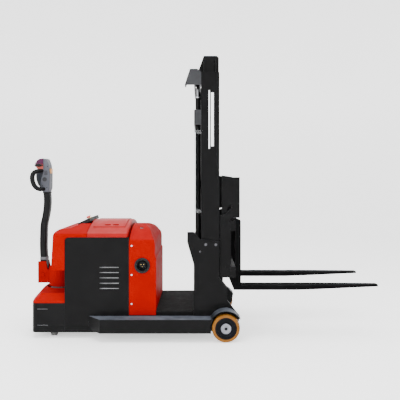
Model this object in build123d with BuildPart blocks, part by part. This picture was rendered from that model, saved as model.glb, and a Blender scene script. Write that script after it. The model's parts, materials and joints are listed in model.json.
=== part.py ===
from build123d import *
import math
import os

os.makedirs("parts", exist_ok=True)

# Walkie stacker with a two-stage mast, shown with its forks part-raised.
# Millimetres. +X points to the fork tips, -Y is the near side, +Z is up.
# The origin is on the floor under the middle of the truck's length.

# Truck body
BODY_HALF = 325
PANEL_THICK = 6
COVER_THICK = 4
PANEL_REAR, PANEL_FRONT = -1038, -545
PANEL_BOTTOM, PANEL_TOP = 46, 773
TAIL_SIDE_X, TAIL_BULGE = -1283, 50
SKIRT_TOP, SKIRT_THICK = 270, 8

# Straddle legs and load wheels
LEG_IN, LEG_OUT = 320, 425
LEG_BOTTOM, LEG_TOP = 70, 172
LEG_WALL = 6
WHEEL_X, WHEEL_Y, WHEEL_R, WHEEL_WIDE = 194, 390, 105, 70
RIM_R = 82
AXLE_R, FIT = 15, 0.05
WHEEL_PLATE_IN, WHEEL_PLATE_OUT = 325, 345
FENDER_IN, FENDER_THICK = 125, 6
RAIL_IN, RAIL_TOP, DECK_THICK = 308, 204, 6
MAST_REAR_X = -50

# Drive, steering and stabilisers
STEER_X = -1150
DRIVE_R, DRIVE_WIDE = 115, 75
TURNTABLE_R, TURNTABLE_OUT = 98, 120
DRUM_R, DRUM_BOTTOM, DRUM_TOP = 108, 345, 500
CASTER_X, CASTER_Y, CASTER_TRAIL = -1135, 222, 30
CASTER_R, CASTER_WIDE = 50, 40

# Tiller
TILLER_X, TILLER_Z = -1300, 430
PIN_R = 12
ARM_HALF_WIDE, ARM_HALF_DEEP = 30, 26.5
HEAD_HALF = 45
THROTTLE_X, THROTTLE_Z = -1330, 1334
ROCKER_X, ROCKER_Z = -1250, 1287

# Mast: outer channels, inner I-beams, rollers, lift cylinders, chains
OUTER_REAR, OUTER_FRONT = 9, 149
OUTER_FLANGE_IN, OUTER_WEB_IN, OUTER_WEB_OUT = 241, 299, 311
OUTER_FLANGE = 14
OUTER_BOTTOM, OUTER_TOP = 70, 2044
INNER_REAR, INNER_FRONT = 26, 132
INNER_IN, INNER_OUT, INNER_FLANGE = 215, 285, 12
INNER_WEB_IN, INNER_WEB_OUT = 245, 255
INNER_BOTTOM, INNER_TOP = 357, 2150
HEAD_TOP = 2195
ROLLER_X = 79
SMALL_ROLLER_R, BIG_ROLLER_R = 40, 55
INNER_ROLLER_Z, OUTER_ROLLER_Z = 300, 1980
CARRIAGE_ROLLER_LOW, CARRIAGE_ROLLER_HIGH = 550, 700
CYLINDER_X, CYLINDER_Y, CYLINDER_R = -14, 205, 22.5
CYLINDER_BOTTOM, CYLINDER_TOP = 180, 1860
ROD_R, PISTON_R, ROD_TOP = 16, 19.4, 2040
PULLEY_X, PULLEY_Z, PULLEY_R, CHAIN_Y = 45, 2045, 45, 120
CHAIN_WIDE, CHAIN_THICK = 19.2, 11.2
ANCHOR_Z, CARRIAGE_ANCHOR_Z = 1705, 640

# Carriage, backrest and forks
BAR_REAR, BAR_FRONT = 235, 274.5
CARRIAGE_HALF = 302
CARRIAGE_BOTTOM, CARRIAGE_TOP = 461, 890
FORK_REAR, FORK_FRONT, FORK_TIP = 275, 315, 1385
FORK_TOP, FORK_BOTTOM, FORK_SHANK_TOP = 400, 365, 900
FORK_Y, FORK_HALF = 250, 50
POST_REAR, POST_FRONT, BACKREST_TOP = 247, 307, 1235

# Covers and controls
REAR_COVER_X = (-1144, -870)
LID_X = (-867, -556)
FRONT_COVER_X = (-544, -338)
CROWN_Z, SHOULDER_Z = 885, 800
FRONT_CROWN_Z, FRONT_SHOULDER_Z = 852, 752
CONSOLE = Plane(origin=(-936, 0, 887), x_dir=(107, 0, 50), z_dir=(-50, 0, 107))
CONSOLE_DEEP = 30
PORT_X, PORT_Z, PORT_R = -443, 558, 59.5
ESTOP_U, ESTOP_V = 28, -68
KEY_U, KEY_V = -12, 70

SIDES = {"near": -1, "far": 1}


def save(part, name):
    part.label = name
    export_step(part, f"parts/{name}.step")


def group(*solids):
    """Pieces of one node that stay separate solids."""
    return Compound([piece for solid in solids for piece in solid.solids()])


def side_plane(inner, outer, side):
    """XZ plane from which extruding by outer - inner fills the gap on one side of the truck."""
    return Plane(origin=(0, outer if side > 0 else -inner, 0), x_dir=(1, 0, 0), z_dir=(0, -1, 0))


def side_plate(outline, inner, outer, side):
    """Flat plate standing along the truck, between two distances from its middle."""
    with BuildPart() as plate:
        with BuildSketch(side_plane(inner, outer, side)):
            with BuildLine():
                Polyline(*outline, close=True)
            make_face()
        extrude(amount=outer - inner)
    return plate.part


def both_sides(outline, inner, outer):
    return [side_plate(outline, inner, outer, side) for side in SIDES.values()]


def block(x, y, z):
    """Rectangular block from its low and high X, Y and Z."""
    with BuildPart() as solid:
        with BuildSketch(Plane.XY.offset(z[0])):
            with Locations(((x[0] + x[1]) / 2, (y[0] + y[1]) / 2)):
                Rectangle(x[1] - x[0], y[1] - y[0])
        extrude(amount=z[1] - z[0])
    return solid.part


def disc(x, z, radius, inner, outer, side, bore=0):
    """Round solid on an axis along Y, with an optional bore."""
    with BuildPart() as solid:
        with BuildSketch(side_plane(inner, outer, side)):
            with Locations((x, z)):
                Circle(radius)
                if bore:
                    Circle(bore, mode=Mode.SUBTRACT)
        extrude(amount=outer - inner)
    return solid.part


def post(x, y, radius, bottom, top, bore=0):
    """Upright round solid, with an optional bore."""
    with BuildPart() as solid:
        with BuildSketch(Plane.XY.offset(bottom)):
            with Locations((x, y)):
                Circle(radius)
                if bore:
                    Circle(bore, mode=Mode.SUBTRACT)
        extrude(amount=top - bottom)
    return solid.part


# ---------------------------------------------------------------- straddle legs
def leg_beam(side):
    """Welded box beam with a flared rear end and a front end that follows the wheel."""
    outline = [
        (-853, BODY_HALF), (-748, LEG_OUT), (110, LEG_OUT), (110, WHEEL_PLATE_OUT),
        (75, WHEEL_PLATE_OUT), (75, LEG_IN), (PANEL_FRONT + 1, LEG_IN), (PANEL_FRONT + 1, BODY_HALF),
    ]
    cavity = [(-700, 331), (-738, 419), (60, 419), (60, 331)]
    with BuildPart() as beam:
        with BuildSketch(Plane.XY.offset(LEG_BOTTOM)):
            with BuildLine():
                Polyline(*[(x, side * y) for x, y in outline], close=True)
            make_face()
        extrude(amount=LEG_TOP - LEG_BOTTOM)
        with BuildSketch(Plane.XY.offset(LEG_BOTTOM + LEG_WALL)):
            with BuildLine():
                Polyline(*[(x, side * y) for x, y in cavity], close=True)
            make_face()
        extrude(amount=LEG_TOP - LEG_BOTTOM - 2 * LEG_WALL, mode=Mode.SUBTRACT)
        with BuildSketch(Plane.XY.offset(LEG_BOTTOM)):
            with Locations((-400, side * 372), (-100, side * 372)):
                SlotOverall(60, 20)
        extrude(amount=LEG_WALL, mode=Mode.SUBTRACT)
        with BuildSketch(side_plane(WHEEL_PLATE_OUT, LEG_OUT, side)):
            with Locations((WHEEL_X, WHEEL_R)):
                Circle(WHEEL_R + 12)
        extrude(amount=LEG_OUT - WHEEL_PLATE_OUT, mode=Mode.SUBTRACT)
    return beam.part


def arch_point(radius, degrees):
    angle = math.radians(degrees)
    return (WHEEL_X + radius * math.cos(angle), WHEEL_R + radius * math.sin(angle))


FENDER_OUT = FENDER_IN + FENDER_THICK
ARCH_FRONT, ARCH_REAR = 34, 147
ARCH_MIDDLE = (ARCH_FRONT + ARCH_REAR) / 2


def wheel_plate(side):
    """Inner plate that carries the stub axle; its top edge follows the fender."""
    with BuildPart() as plate:
        with BuildSketch(side_plane(WHEEL_PLATE_IN, WHEEL_PLATE_OUT, side)):
            with BuildLine():
                crown = ThreePointArc(
                    arch_point(FENDER_OUT, ARCH_FRONT),
                    arch_point(FENDER_OUT, ARCH_MIDDLE),
                    arch_point(FENDER_OUT, ARCH_REAR),
                )
                Polyline(crown @ 1, (76, LEG_TOP), (76, 62), (250, 62), (290, 110), crown @ 0)
            make_face()
        extrude(amount=WHEEL_PLATE_OUT - WHEEL_PLATE_IN)
    return plate.part


def fender(side):
    """Arched guard over one load wheel."""
    with BuildPart() as guard:
        with BuildSketch(side_plane(WHEEL_PLATE_OUT, LEG_OUT, side)):
            with BuildLine():
                upper = ThreePointArc(
                    arch_point(FENDER_OUT, ARCH_FRONT),
                    arch_point(FENDER_OUT, ARCH_MIDDLE),
                    arch_point(FENDER_OUT, ARCH_REAR),
                )
                lower = ThreePointArc(
                    arch_point(FENDER_IN, ARCH_FRONT),
                    arch_point(FENDER_IN, ARCH_MIDDLE),
                    arch_point(FENDER_IN, ARCH_REAR),
                )
                Line(upper @ 0, lower @ 0)
                Line(upper @ 1, lower @ 1)
            make_face()
        extrude(amount=LEG_OUT - WHEEL_PLATE_OUT)
    return guard.part


legs = [leg_beam(side) for side in SIDES.values()] + [wheel_plate(side) for side in SIDES.values()]
save(group(*legs), "legs")

with BuildPart() as fenders:
    for side in SIDES.values():
        add(fender(side))
save(fenders.part, "fenders")

CAP_R, CAP_IN, CAP_OUT = 39, 420.5, 428


def stub_axle(side):
    """Cantilever axle with its round end plate, which has a blind centre hole."""
    with BuildPart() as axle:
        add(disc(WHEEL_X, WHEEL_R, AXLE_R, WHEEL_PLATE_OUT, CAP_OUT, side))
        add(disc(WHEEL_X, WHEEL_R, CAP_R, CAP_IN, CAP_OUT, side))
        add(disc(WHEEL_X, WHEEL_R, 11.5, CAP_OUT - 12, CAP_OUT, side), mode=Mode.SUBTRACT)
        outer_edges = axle.edges().filter_by(GeomType.CIRCLE).group_by(Axis.Y)[0 if side < 0 else -1]
        chamfer(outer_edges.sort_by(SortBy.RADIUS)[-1], 2)
    return axle.part


with BuildPart() as load_axles:
    for side in SIDES.values():
        add(stub_axle(side))
save(load_axles.part, "load_axles")


def load_tyre(side):
    with BuildPart() as tyre:
        inner = WHEEL_Y - WHEEL_WIDE / 2
        add(disc(WHEEL_X, WHEEL_R, WHEEL_R, inner, inner + WHEEL_WIDE, side, bore=RIM_R))
        fillet(tyre.edges().filter_by(GeomType.CIRCLE).group_by(SortBy.RADIUS)[-1], 6)
    return tyre.part


def load_rim(side):
    """Cast rim with a dished outer face and a bored hub."""
    inner = WHEEL_Y - WHEEL_WIDE / 2 + 2
    outer = WHEEL_Y + WHEEL_WIDE / 2 - 2
    with BuildPart() as rim:
        add(disc(WHEEL_X, WHEEL_R, RIM_R, inner, outer, side, bore=AXLE_R + FIT))
        add(disc(WHEEL_X, WHEEL_R, RIM_R - 10, outer - 6, outer, side), mode=Mode.SUBTRACT)
        add(disc(WHEEL_X, WHEEL_R, RIM_R - 10, inner, inner + 20, side, bore=30), mode=Mode.SUBTRACT)
        add(disc(WHEEL_X, WHEEL_R, CAP_R + 4, CAP_IN - 3, outer, side), mode=Mode.SUBTRACT)
    return rim.part


for name, side in SIDES.items():
    save(load_tyre(side), f"load_tyre_{name}")
    save(load_rim(side), f"load_rim_{name}")

# ---------------------------------------------------------------- frame
RAIL = [(PANEL_FRONT + 1, 60), (MAST_REAR_X, 60), (MAST_REAR_X, RAIL_TOP), (PANEL_FRONT + 1, RAIL_TOP)]
with BuildPart() as floor_plate:
    add(block((-1030, MAST_REAR_X), (-RAIL_IN, RAIL_IN), (60, 68)))
save(group(floor_plate.part, *both_sides(RAIL, RAIL_IN, LEG_IN)), "chassis_rails")

with BuildPart() as deck:
    add(block((PANEL_FRONT + 2, MAST_REAR_X), (-LEG_IN, LEG_IN), (RAIL_TOP, RAIL_TOP + DECK_THICK)))
save(deck.part, "deck")

with BuildPart() as cross_member:
    with BuildSketch(Plane.XZ):
        with Locations(((MAST_REAR_X + OUTER_REAR) / 2, 120)):
            Rectangle(OUTER_REAR - MAST_REAR_X, 120)
            Rectangle(OUTER_REAR - MAST_REAR_X - 16, 104, mode=Mode.SUBTRACT)
    extrude(amount=OUTER_WEB_OUT, both=True)
mast_sill = block(
    (OUTER_REAR, OUTER_FRONT), (-OUTER_WEB_OUT, OUTER_WEB_OUT), (OUTER_BOTTOM, OUTER_BOTTOM + 20),
)
save(group(cross_member.part, mast_sill), "mast_foot")

LOUVRES = [381, 421, 462, 503, 543]
LOUVRE_X, LOUVRE_LONG, LOUVRE_HIGH = -697, 150, 12


def side_panel(side):
    """Flat steel panel with louvre slots and a rounded upper rear corner."""
    with BuildPart() as panel:
        with BuildSketch(side_plane(BODY_HALF - PANEL_THICK, BODY_HALF, side)) as face:
            with Locations(((PANEL_REAR + PANEL_FRONT) / 2, (PANEL_BOTTOM + PANEL_TOP) / 2)):
                Rectangle(PANEL_FRONT - PANEL_REAR, PANEL_TOP - PANEL_BOTTOM)
            fillet(face.vertices().group_by(Axis.Y)[-1].sort_by(Axis.X)[0], 28)
            with Locations(*[(LOUVRE_X, z) for z in LOUVRES]):
                SlotOverall(LOUVRE_LONG, LOUVRE_HIGH, mode=Mode.SUBTRACT)
        extrude(amount=PANEL_THICK)
    return panel.part


# The fixed half of each lid hinge is welded to the far side panel.
HINGE_Y, HINGE_Z, HINGE_R = 334, 776, 5
LID_KNUCKLES = [(-820, -780), (-640, -600)]


def hinge_pin(start, end):
    with BuildPart() as pin:
        with BuildSketch(Plane.YZ.offset(start - 22)):
            with Locations((HINGE_Y, HINGE_Z)):
                Circle(HINGE_R)
        extrude(amount=end - start + 22)
        with BuildSketch(Plane.YZ.offset(start - 22)):
            with Locations((HINGE_Y, HINGE_Z)):
                Circle(8)
            with Locations((HINGE_Y - 4.5, HINGE_Z - 14)):
                Rectangle(9, 28)
        extrude(amount=21)
    return pin.part


hinge_pins = [hinge_pin(start, end) for start, end in LID_KNUCKLES]
save(group(*[side_panel(side) for side in SIDES.values()], *hinge_pins), "side_panels")


def tail_outline(inset, front):
    """Plan of the tail: straight sides and a rear that bulges backwards, drawn inset mm inside."""
    half = BODY_HALF - inset
    side_x = TAIL_SIDE_X + inset
    corner = 34
    with BuildSketch() as plan:
        with BuildLine():
            Polyline((side_x, half), (front, half), (front, -half), (side_x, -half))
            ThreePointArc((side_x, -half), (side_x - TAIL_BULGE, 0), (side_x, half))
        make_face()
        fillet(plan.vertices().group_by(Axis.X)[0], max(corner - inset, 8))
    return plan.sketch


SKIRT_FRONT = PANEL_REAR - 1
with BuildPart() as skirt:
    with BuildSketch(Plane.XY.offset(PANEL_BOTTOM)):
        add(tail_outline(0, SKIRT_FRONT))
        add(tail_outline(SKIRT_THICK, SKIRT_FRONT + 50), mode=Mode.SUBTRACT)
    extrude(amount=SKIRT_TOP - PANEL_BOTTOM)
    with BuildSketch(Plane.XZ):
        for slot_z in (100, 224):
            with Locations((-1209, slot_z)):
                SlotOverall(84, 5)
    extrude(amount=BODY_HALF + 5, both=True, mode=Mode.SUBTRACT)
save(skirt.part, "skirt")

HOOD_TOP, HOOD_BEVEL = 335, 50
HOOD_HOLE = 118
HOOD_INNER = 8


def hood_solid(inset, top):
    """Tail outline that slopes inwards all round to a flat top."""
    with BuildPart() as solid:
        for inset_by, height in ((inset, 6), (inset + HOOD_BEVEL, top)):
            with BuildSketch(Plane.XY.offset(SKIRT_TOP + height)):
                add(tail_outline(inset_by, SKIRT_FRONT + 60))
        loft()
        with BuildSketch(Plane.XY.offset(SKIRT_TOP)):
            add(tail_outline(inset, SKIRT_FRONT + 60))
        extrude(amount=6)
        add(block((SKIRT_FRONT, 0), (-400, 400), (SKIRT_TOP, 500)), mode=Mode.SUBTRACT)
    return solid.part


with BuildPart() as drive_hood:
    add(hood_solid(0, HOOD_TOP - SKIRT_TOP))
    add(hood_solid(HOOD_INNER, HOOD_TOP - SKIRT_TOP - 5), mode=Mode.SUBTRACT)
    with BuildSketch(Plane.XY.offset(SKIRT_TOP)):
        with Locations((STEER_X, 0)):
            Circle(HOOD_HOLE)
    extrude(amount=HOOD_TOP - SKIRT_TOP, mode=Mode.SUBTRACT)
save(drive_hood.part, "drive_hood")

# ---------------------------------------------------------------- drive unit and casters
TURNTABLE_Z = 258
CASTER_TOP = 118
with BuildPart() as turntable:
    add(block((-1262, PANEL_REAR - 4), (-RAIL_IN, RAIL_IN), (TURNTABLE_Z, TURNTABLE_Z + 10)))
    add(post(STEER_X, 0, TURNTABLE_OUT - 4, TURNTABLE_Z, 312))
    add(post(STEER_X, 0, TURNTABLE_R + 2, TURNTABLE_Z, 312), mode=Mode.SUBTRACT)
with BuildPart() as caster_mounts:
    for side in SIDES.values():
        add(post(CASTER_X, side * CASTER_Y, 28, CASTER_TOP + 2, TURNTABLE_Z))
        add(post(CASTER_X, side * CASTER_Y, 10 + FIT, CASTER_TOP, 190), mode=Mode.SUBTRACT)
save(group(turntable.part, caster_mounts.part), "turntable")

GEARBOX_IN, GEARBOX_OUT = 45, 105
with BuildPart() as drive_unit:
    add(post(STEER_X, 0, TURNTABLE_R, 250, 316))
    add(post(STEER_X, 0, 88, 316, DRUM_BOTTOM))
    add(block((STEER_X - 55, STEER_X + 55), (GEARBOX_IN, GEARBOX_OUT), (60, 250)))
    add(disc(STEER_X, DRIVE_R, 50, GEARBOX_IN, GEARBOX_OUT, 1))
    add(disc(STEER_X, DRIVE_R, 20, -40, GEARBOX_IN + 1, 1))
    chamfer(drive_unit.edges().filter_by(Axis.Y).group_by(Axis.Z)[0], 12)
with BuildPart() as drive_motor:
    add(post(STEER_X, 0, 78, DRUM_BOTTOM, 485))
    add(post(STEER_X, 0, 30, 485, 490))
save(group(drive_unit.part, drive_motor.part), "drive_unit")

with BuildPart() as drive_wheel:
    half_width = DRIVE_WIDE / 2
    add(disc(STEER_X, DRIVE_R, DRIVE_R, -half_width, half_width, 1, bore=20 + FIT))
    fillet(drive_wheel.edges().filter_by(GeomType.CIRCLE).group_by(SortBy.RADIUS)[-1], 5)
save(drive_wheel.part, "drive_wheel")

CHEEK_IN, CHEEK_OUT = 33, 47
CHEEK = [(-1340, 363), (-1262, 363), (-1262, 470), (-1276, 539), (-1340, 539)]
with BuildPart() as tiller_mount:
    for plate in both_sides(CHEEK, CHEEK_IN, CHEEK_OUT):
        add(plate)
    add(block((-1268, -1240), (-CHEEK_OUT, CHEEK_OUT), (363, 470)))
    add(post(STEER_X, 0, DRUM_R, DRUM_BOTTOM, DRUM_TOP))
    fillet(tiller_mount.edges().filter_by(GeomType.CIRCLE).group_by(Axis.Z)[-1], 18)
    add(post(STEER_X, 0, DRUM_R - 6, DRUM_BOTTOM, DRUM_TOP - 6), mode=Mode.SUBTRACT)
    for side in SIDES.values():
        add(disc(TILLER_X, TILLER_Z, PIN_R, CHEEK_IN - 20, CHEEK_OUT, side), mode=Mode.SUBTRACT)

with BuildPart() as tiller_pin:
    add(disc(TILLER_X, TILLER_Z, PIN_R, -CHEEK_OUT, CHEEK_OUT, 1))
    for side in SIDES.values():
        add(disc(TILLER_X, TILLER_Z, PIN_R + 5, CHEEK_OUT, CHEEK_OUT + 4, side))
save(group(tiller_mount.part, tiller_pin.part), "tiller_mount")


def caster_fork(side):
    """Swivel fork turned a quarter turn, so its wheel rolls across the truck."""
    wheel_y = side * (CASTER_Y + CASTER_TRAIL)
    with BuildPart() as fork:
        add(post(CASTER_X, side * CASTER_Y, 10, 108, 188))
        add(post(CASTER_X, side * CASTER_Y, 26, 108, CASTER_TOP))
        with BuildSketch(Plane.YZ.offset(CASTER_X)):
            with BuildLine():
                Polyline(
                    (side * (CASTER_Y - 26), 108), (side * (CASTER_Y + 26), 108),
                    (wheel_y + side * 16, 62), (wheel_y + side * 12, 36),
                    (wheel_y - side * 12, 36), close=True,
                )
            make_face()
        extrude(amount=28, both=True)
        cheek_gap = CASTER_WIDE / 2 + 2
        add(
            block(
                (CASTER_X - cheek_gap, CASTER_X + cheek_gap),
                sorted((side * (CASTER_Y - 40), side * (CASTER_Y + 60))),
                (20, 103),
            ),
            mode=Mode.SUBTRACT,
        )
        with BuildSketch(Plane.YZ.offset(CASTER_X)):
            with Locations((wheel_y, CASTER_R)):
                Circle(8)
        extrude(amount=28, both=True)
    return fork.part


def caster_wheel(side):
    with BuildPart() as wheel:
        with BuildSketch(Plane.YZ.offset(CASTER_X)):
            with Locations((side * (CASTER_Y + CASTER_TRAIL), CASTER_R)):
                Circle(CASTER_R)
                Circle(8 + FIT, mode=Mode.SUBTRACT)
        extrude(amount=CASTER_WIDE / 2, both=True)
        fillet(wheel.edges().filter_by(GeomType.CIRCLE).group_by(SortBy.RADIUS)[-1], 5)
    return wheel.part


for name, side in SIDES.items():
    save(caster_fork(side), f"caster_fork_{name}")
    save(caster_wheel(side), f"caster_wheel_{name}")

# ---------------------------------------------------------------- covers


def crowned(x_range, half, bottom, shoulder, crown, corner):
    """Block with upright sides, rounded shoulders and a gently crowned top."""
    with BuildPart() as body:
        with BuildSketch(Plane.YZ.offset(x_range[0])):
            with BuildLine():
                Polyline((-half, shoulder), (-half, bottom), (half, bottom), (half, shoulder))
                ThreePointArc((-half, shoulder), (0, crown), (half, shoulder))
            make_face()
        extrude(amount=x_range[1] - x_range[0])
        fillet(body.edges().filter_by(Axis.X).group_by(Axis.Z)[-1], corner)
    return body.part


def trim(outline, half):
    """Prism across the truck that limits a cover to its outline seen from the side."""
    with BuildPart() as prism:
        with BuildSketch(Plane.XZ):
            with BuildLine():
                Polyline(*outline, close=True)
            make_face()
        extrude(amount=half + 20, both=True)
    return prism.part


def rear_shape(inset, bottom):
    outline = [
        (-1144 + inset, bottom), (-1128 + inset, 790), (-1118 + inset, 814), (-1098, 828 - inset),
        (-1012, 836 - inset), (-905, 886 - inset), (-860, 900 - inset), (-860, bottom),
    ]
    with BuildPart() as shape:
        add(crowned(
            (-1160, REAR_COVER_X[1]), BODY_HALF - inset, bottom,
            SHOULDER_Z - inset, CROWN_Z - inset, 22,
        ))
        add(trim(outline, BODY_HALF), mode=Mode.INTERSECT)
    return shape.part


PANEL_HALF_U, PANEL_HALF_V = 52, 160
with BuildPart() as rear_cover:
    add(rear_shape(0, 520))
    add(rear_shape(COVER_THICK, 500), mode=Mode.SUBTRACT)
    add(block((PANEL_REAR - 1, -800), (-400, 400), (400, PANEL_TOP + 1)), mode=Mode.SUBTRACT)
    with BuildSketch(CONSOLE.offset(-60)):
        Rectangle(2 * PANEL_HALF_U, 2 * PANEL_HALF_V)
    extrude(amount=90, mode=Mode.SUBTRACT)
save(rear_cover.part, "rear_cover")

RAISED_X, RAISED_HALF, RAISED = (-838, -588), 235, 6
HAND_SLOTS = [(-731, -205), (-666, -205)]
with BuildPart() as battery_lid:
    add(crowned(LID_X, BODY_HALF, PANEL_TOP + 1, SHOULDER_Z, CROWN_Z, 22))
    lid_ends = battery_lid.faces().filter_by(Axis.X).sort_by(Axis.X)[-1]
    fillet(lid_ends.edges().group_by(Axis.Z)[-1], 12)
    with BuildPart(mode=Mode.PRIVATE) as raised:
        add(crowned(RAISED_X, BODY_HALF, 700, SHOULDER_Z + RAISED, CROWN_Z + RAISED, 22))
        add(block(RAISED_X, (-RAISED_HALF, RAISED_HALF), (780, 950)), mode=Mode.INTERSECT)
    add(raised.part)
    inner_x = (LID_X[0] + COVER_THICK, LID_X[1] - COVER_THICK)
    inner_half = BODY_HALF - COVER_THICK
    add(
        crowned(inner_x, inner_half, 700, SHOULDER_Z - COVER_THICK, CROWN_Z - COVER_THICK, 20),
        mode=Mode.SUBTRACT,
    )
    with BuildSketch(Plane.XY.offset(800)):
        with Locations(*HAND_SLOTS):
            SlotOverall(50, 24)
    extrude(amount=120, mode=Mode.SUBTRACT)

with BuildPart() as lid_knuckles:
    for x_range in LID_KNUCKLES:
        with BuildSketch(Plane.YZ.offset(x_range[0])):
            with Locations((HINGE_Y, HINGE_Z)):
                Circle(8)
            with Locations((HINGE_Y - 3, HINGE_Z + 12)):
                Rectangle(6, 24)
            with Locations((HINGE_Y, HINGE_Z)):
                Circle(HINGE_R + FIT, mode=Mode.SUBTRACT)
        extrude(amount=x_range[1] - x_range[0])
    add(block((-900, -500), (300, BODY_HALF), (700, 900)), mode=Mode.SUBTRACT)
save(group(battery_lid.part, lid_knuckles.part), "battery_lid")


def front_shape(inset, bottom):
    front = FRONT_COVER_X[1] - inset
    with BuildPart() as shape:
        add(crowned(
            (FRONT_COVER_X[0] + inset, front), BODY_HALF - inset, bottom,
            FRONT_SHOULDER_Z - inset, FRONT_CROWN_Z - inset, 30,
        ))
        with BuildPart(mode=Mode.PRIVATE) as limit:
            with BuildSketch(Plane.XZ):
                with BuildLine():
                    brow = ThreePointArc((-470, 852 - inset), (-412, 832 - inset), (front - 32, 776 - inset))
                    Polyline(
                        brow @ 1, (front - 14, 748 - inset), (front - 8, 716 - inset),
                        (front - 8, 622), (front, 612), (front, bottom), (-600, bottom),
                        (-600, 858 - inset), brow @ 0,
                    )
                make_face()
            extrude(amount=BODY_HALF + 20, both=True)
        add(limit.part, mode=Mode.INTERSECT)
    return shape.part


with BuildPart() as front_cover:
    add(front_shape(0, 178))
    add(front_shape(COVER_THICK, 160), mode=Mode.SUBTRACT)
    add(block((-560, -300), (-LEG_IN - 0.5, LEG_IN + 0.5), (170, 211)), mode=Mode.SUBTRACT)
    add(disc(PORT_X, PORT_Z, 48, BODY_HALF - 12, BODY_HALF + 1, -1), mode=Mode.SUBTRACT)
    add(post(-468, -158, 17, 780, 860), mode=Mode.SUBTRACT)
save(front_cover.part, "front_cover")

with BuildPart() as charge_port:
    add(disc(PORT_X, PORT_Z, 48, 272, BODY_HALF, -1))
    add(disc(PORT_X, PORT_Z, PORT_R, BODY_HALF, BODY_HALF + 8, -1))
    add(disc(PORT_X, PORT_Z, 43, 277, BODY_HALF + 8, -1), mode=Mode.SUBTRACT)
    rim_edges = charge_port.edges().filter_by(GeomType.CIRCLE).group_by(Axis.Y)[0]
    fillet(rim_edges.sort_by(SortBy.RADIUS)[-1], 3)
    add(disc(PORT_X, PORT_Z, 24, 276, 300, -1))
save(charge_port.part, "charge_port")

with BuildPart() as breather_cap:
    add(post(-468, -158, 16.5, 800, 829))
    chamfer(breather_cap.edges().group_by(Axis.Z)[-1], 2)

# ---------------------------------------------------------------- console
with BuildPart() as instrument_panel:
    with BuildSketch(CONSOLE.offset(-CONSOLE_DEEP)) as panel_face:
        Rectangle(2 * PANEL_HALF_U - 1, 2 * PANEL_HALF_V - 1)
        fillet(panel_face.vertices(), 6)
    extrude(amount=CONSOLE_DEEP)
    fillet(instrument_panel.faces().sort_by(Axis.Z)[-1].edges(), 4)
    with BuildSketch(CONSOLE):
        with Locations((4, 0)):
            Rectangle(58, 74)
    extrude(amount=-3, mode=Mode.SUBTRACT)
    with BuildSketch(CONSOLE.offset(-CONSOLE_DEEP)):
        with Locations((ESTOP_U, ESTOP_V)):
            Circle(9.1)
        with Locations((KEY_U, KEY_V)):
            Rectangle(3.4, 11.4)
            Circle(6.1)
    extrude(amount=CONSOLE_DEEP, mode=Mode.SUBTRACT)
    with BuildSketch(CONSOLE):
        with Locations((KEY_U, KEY_V)):
            Circle(12)
            Circle(8.2, mode=Mode.SUBTRACT)
    extrude(amount=4)
save(instrument_panel.part, "instrument_panel")

with BuildPart() as estop_button:
    with BuildSketch(CONSOLE.offset(-14)):
        with Locations((ESTOP_U, ESTOP_V)):
            Circle(9)
    extrude(amount=22)
    with BuildSketch(CONSOLE.offset(8)):
        with Locations((ESTOP_U, ESTOP_V)):
            Circle(19)
    extrude(amount=12)
save(estop_button.part, "estop_button")

with BuildPart() as key:
    with BuildSketch(CONSOLE.offset(-11)):
        with Locations((KEY_U, KEY_V)):
            Circle(6)
    extrude(amount=17)
    with BuildSketch(CONSOLE.offset(6)):
        with Locations((KEY_U, KEY_V)):
            Rectangle(20, 3)
    extrude(amount=18)
save(key.part, "key")

# ---------------------------------------------------------------- power pack
BATTERY_TOP = 738
with BuildPart() as battery:
    add(block((-862, -562), (-300, 300), (68, BATTERY_TOP)))
    for y in (-220, 220):
        add(block((-730, -700), (y - 25, y + 25), (BATTERY_TOP, BATTERY_TOP + 22)))
save(battery.part, "battery")

with BuildPart() as hydraulic_tank:
    add(block((-536, -350), (-250, 20), (RAIL_TOP + DECK_THICK, 560)))
    add(post(-468, -158, 14, 560, 800))

with BuildPart() as pump_motor:
    add(post(-440, 150, 62, 290, 500))
    add(block((-500, -380), (90, 210), (RAIL_TOP + DECK_THICK, 290)))
save(group(hydraulic_tank.part, pump_motor.part, breather_cap.part), "hydraulic_pack")

with BuildPart() as motor_controller:
    add(block((-1028, -900), (-180, 180), (68, 560)))
save(motor_controller.part, "motor_controller")

# ---------------------------------------------------------------- outer mast


def outer_channel(side):
    """C-channel that opens towards the middle of the truck."""
    outline = [
        (OUTER_REAR, OUTER_WEB_OUT), (OUTER_FRONT, OUTER_WEB_OUT), (OUTER_FRONT, OUTER_FLANGE_IN),
        (OUTER_FRONT - OUTER_FLANGE, OUTER_FLANGE_IN), (OUTER_FRONT - OUTER_FLANGE, OUTER_WEB_IN),
        (OUTER_REAR + OUTER_FLANGE, OUTER_WEB_IN), (OUTER_REAR + OUTER_FLANGE, OUTER_FLANGE_IN),
        (OUTER_REAR, OUTER_FLANGE_IN),
    ]
    with BuildPart() as channel:
        with BuildSketch(Plane.XY.offset(OUTER_BOTTOM + 20)):
            with BuildLine():
                Polyline(*[(x, side * y) for x, y in outline], close=True)
            make_face()
        extrude(amount=OUTER_TOP - OUTER_BOTTOM - 20)
    return channel.part


outer_channels = [outer_channel(side) for side in SIDES.values()]
roller_pins = [disc(ROLLER_X, OUTER_ROLLER_Z, 12, 258, OUTER_WEB_IN, side) for side in SIDES.values()]
save(group(*outer_channels, *roller_pins), "outer_channels")

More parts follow.
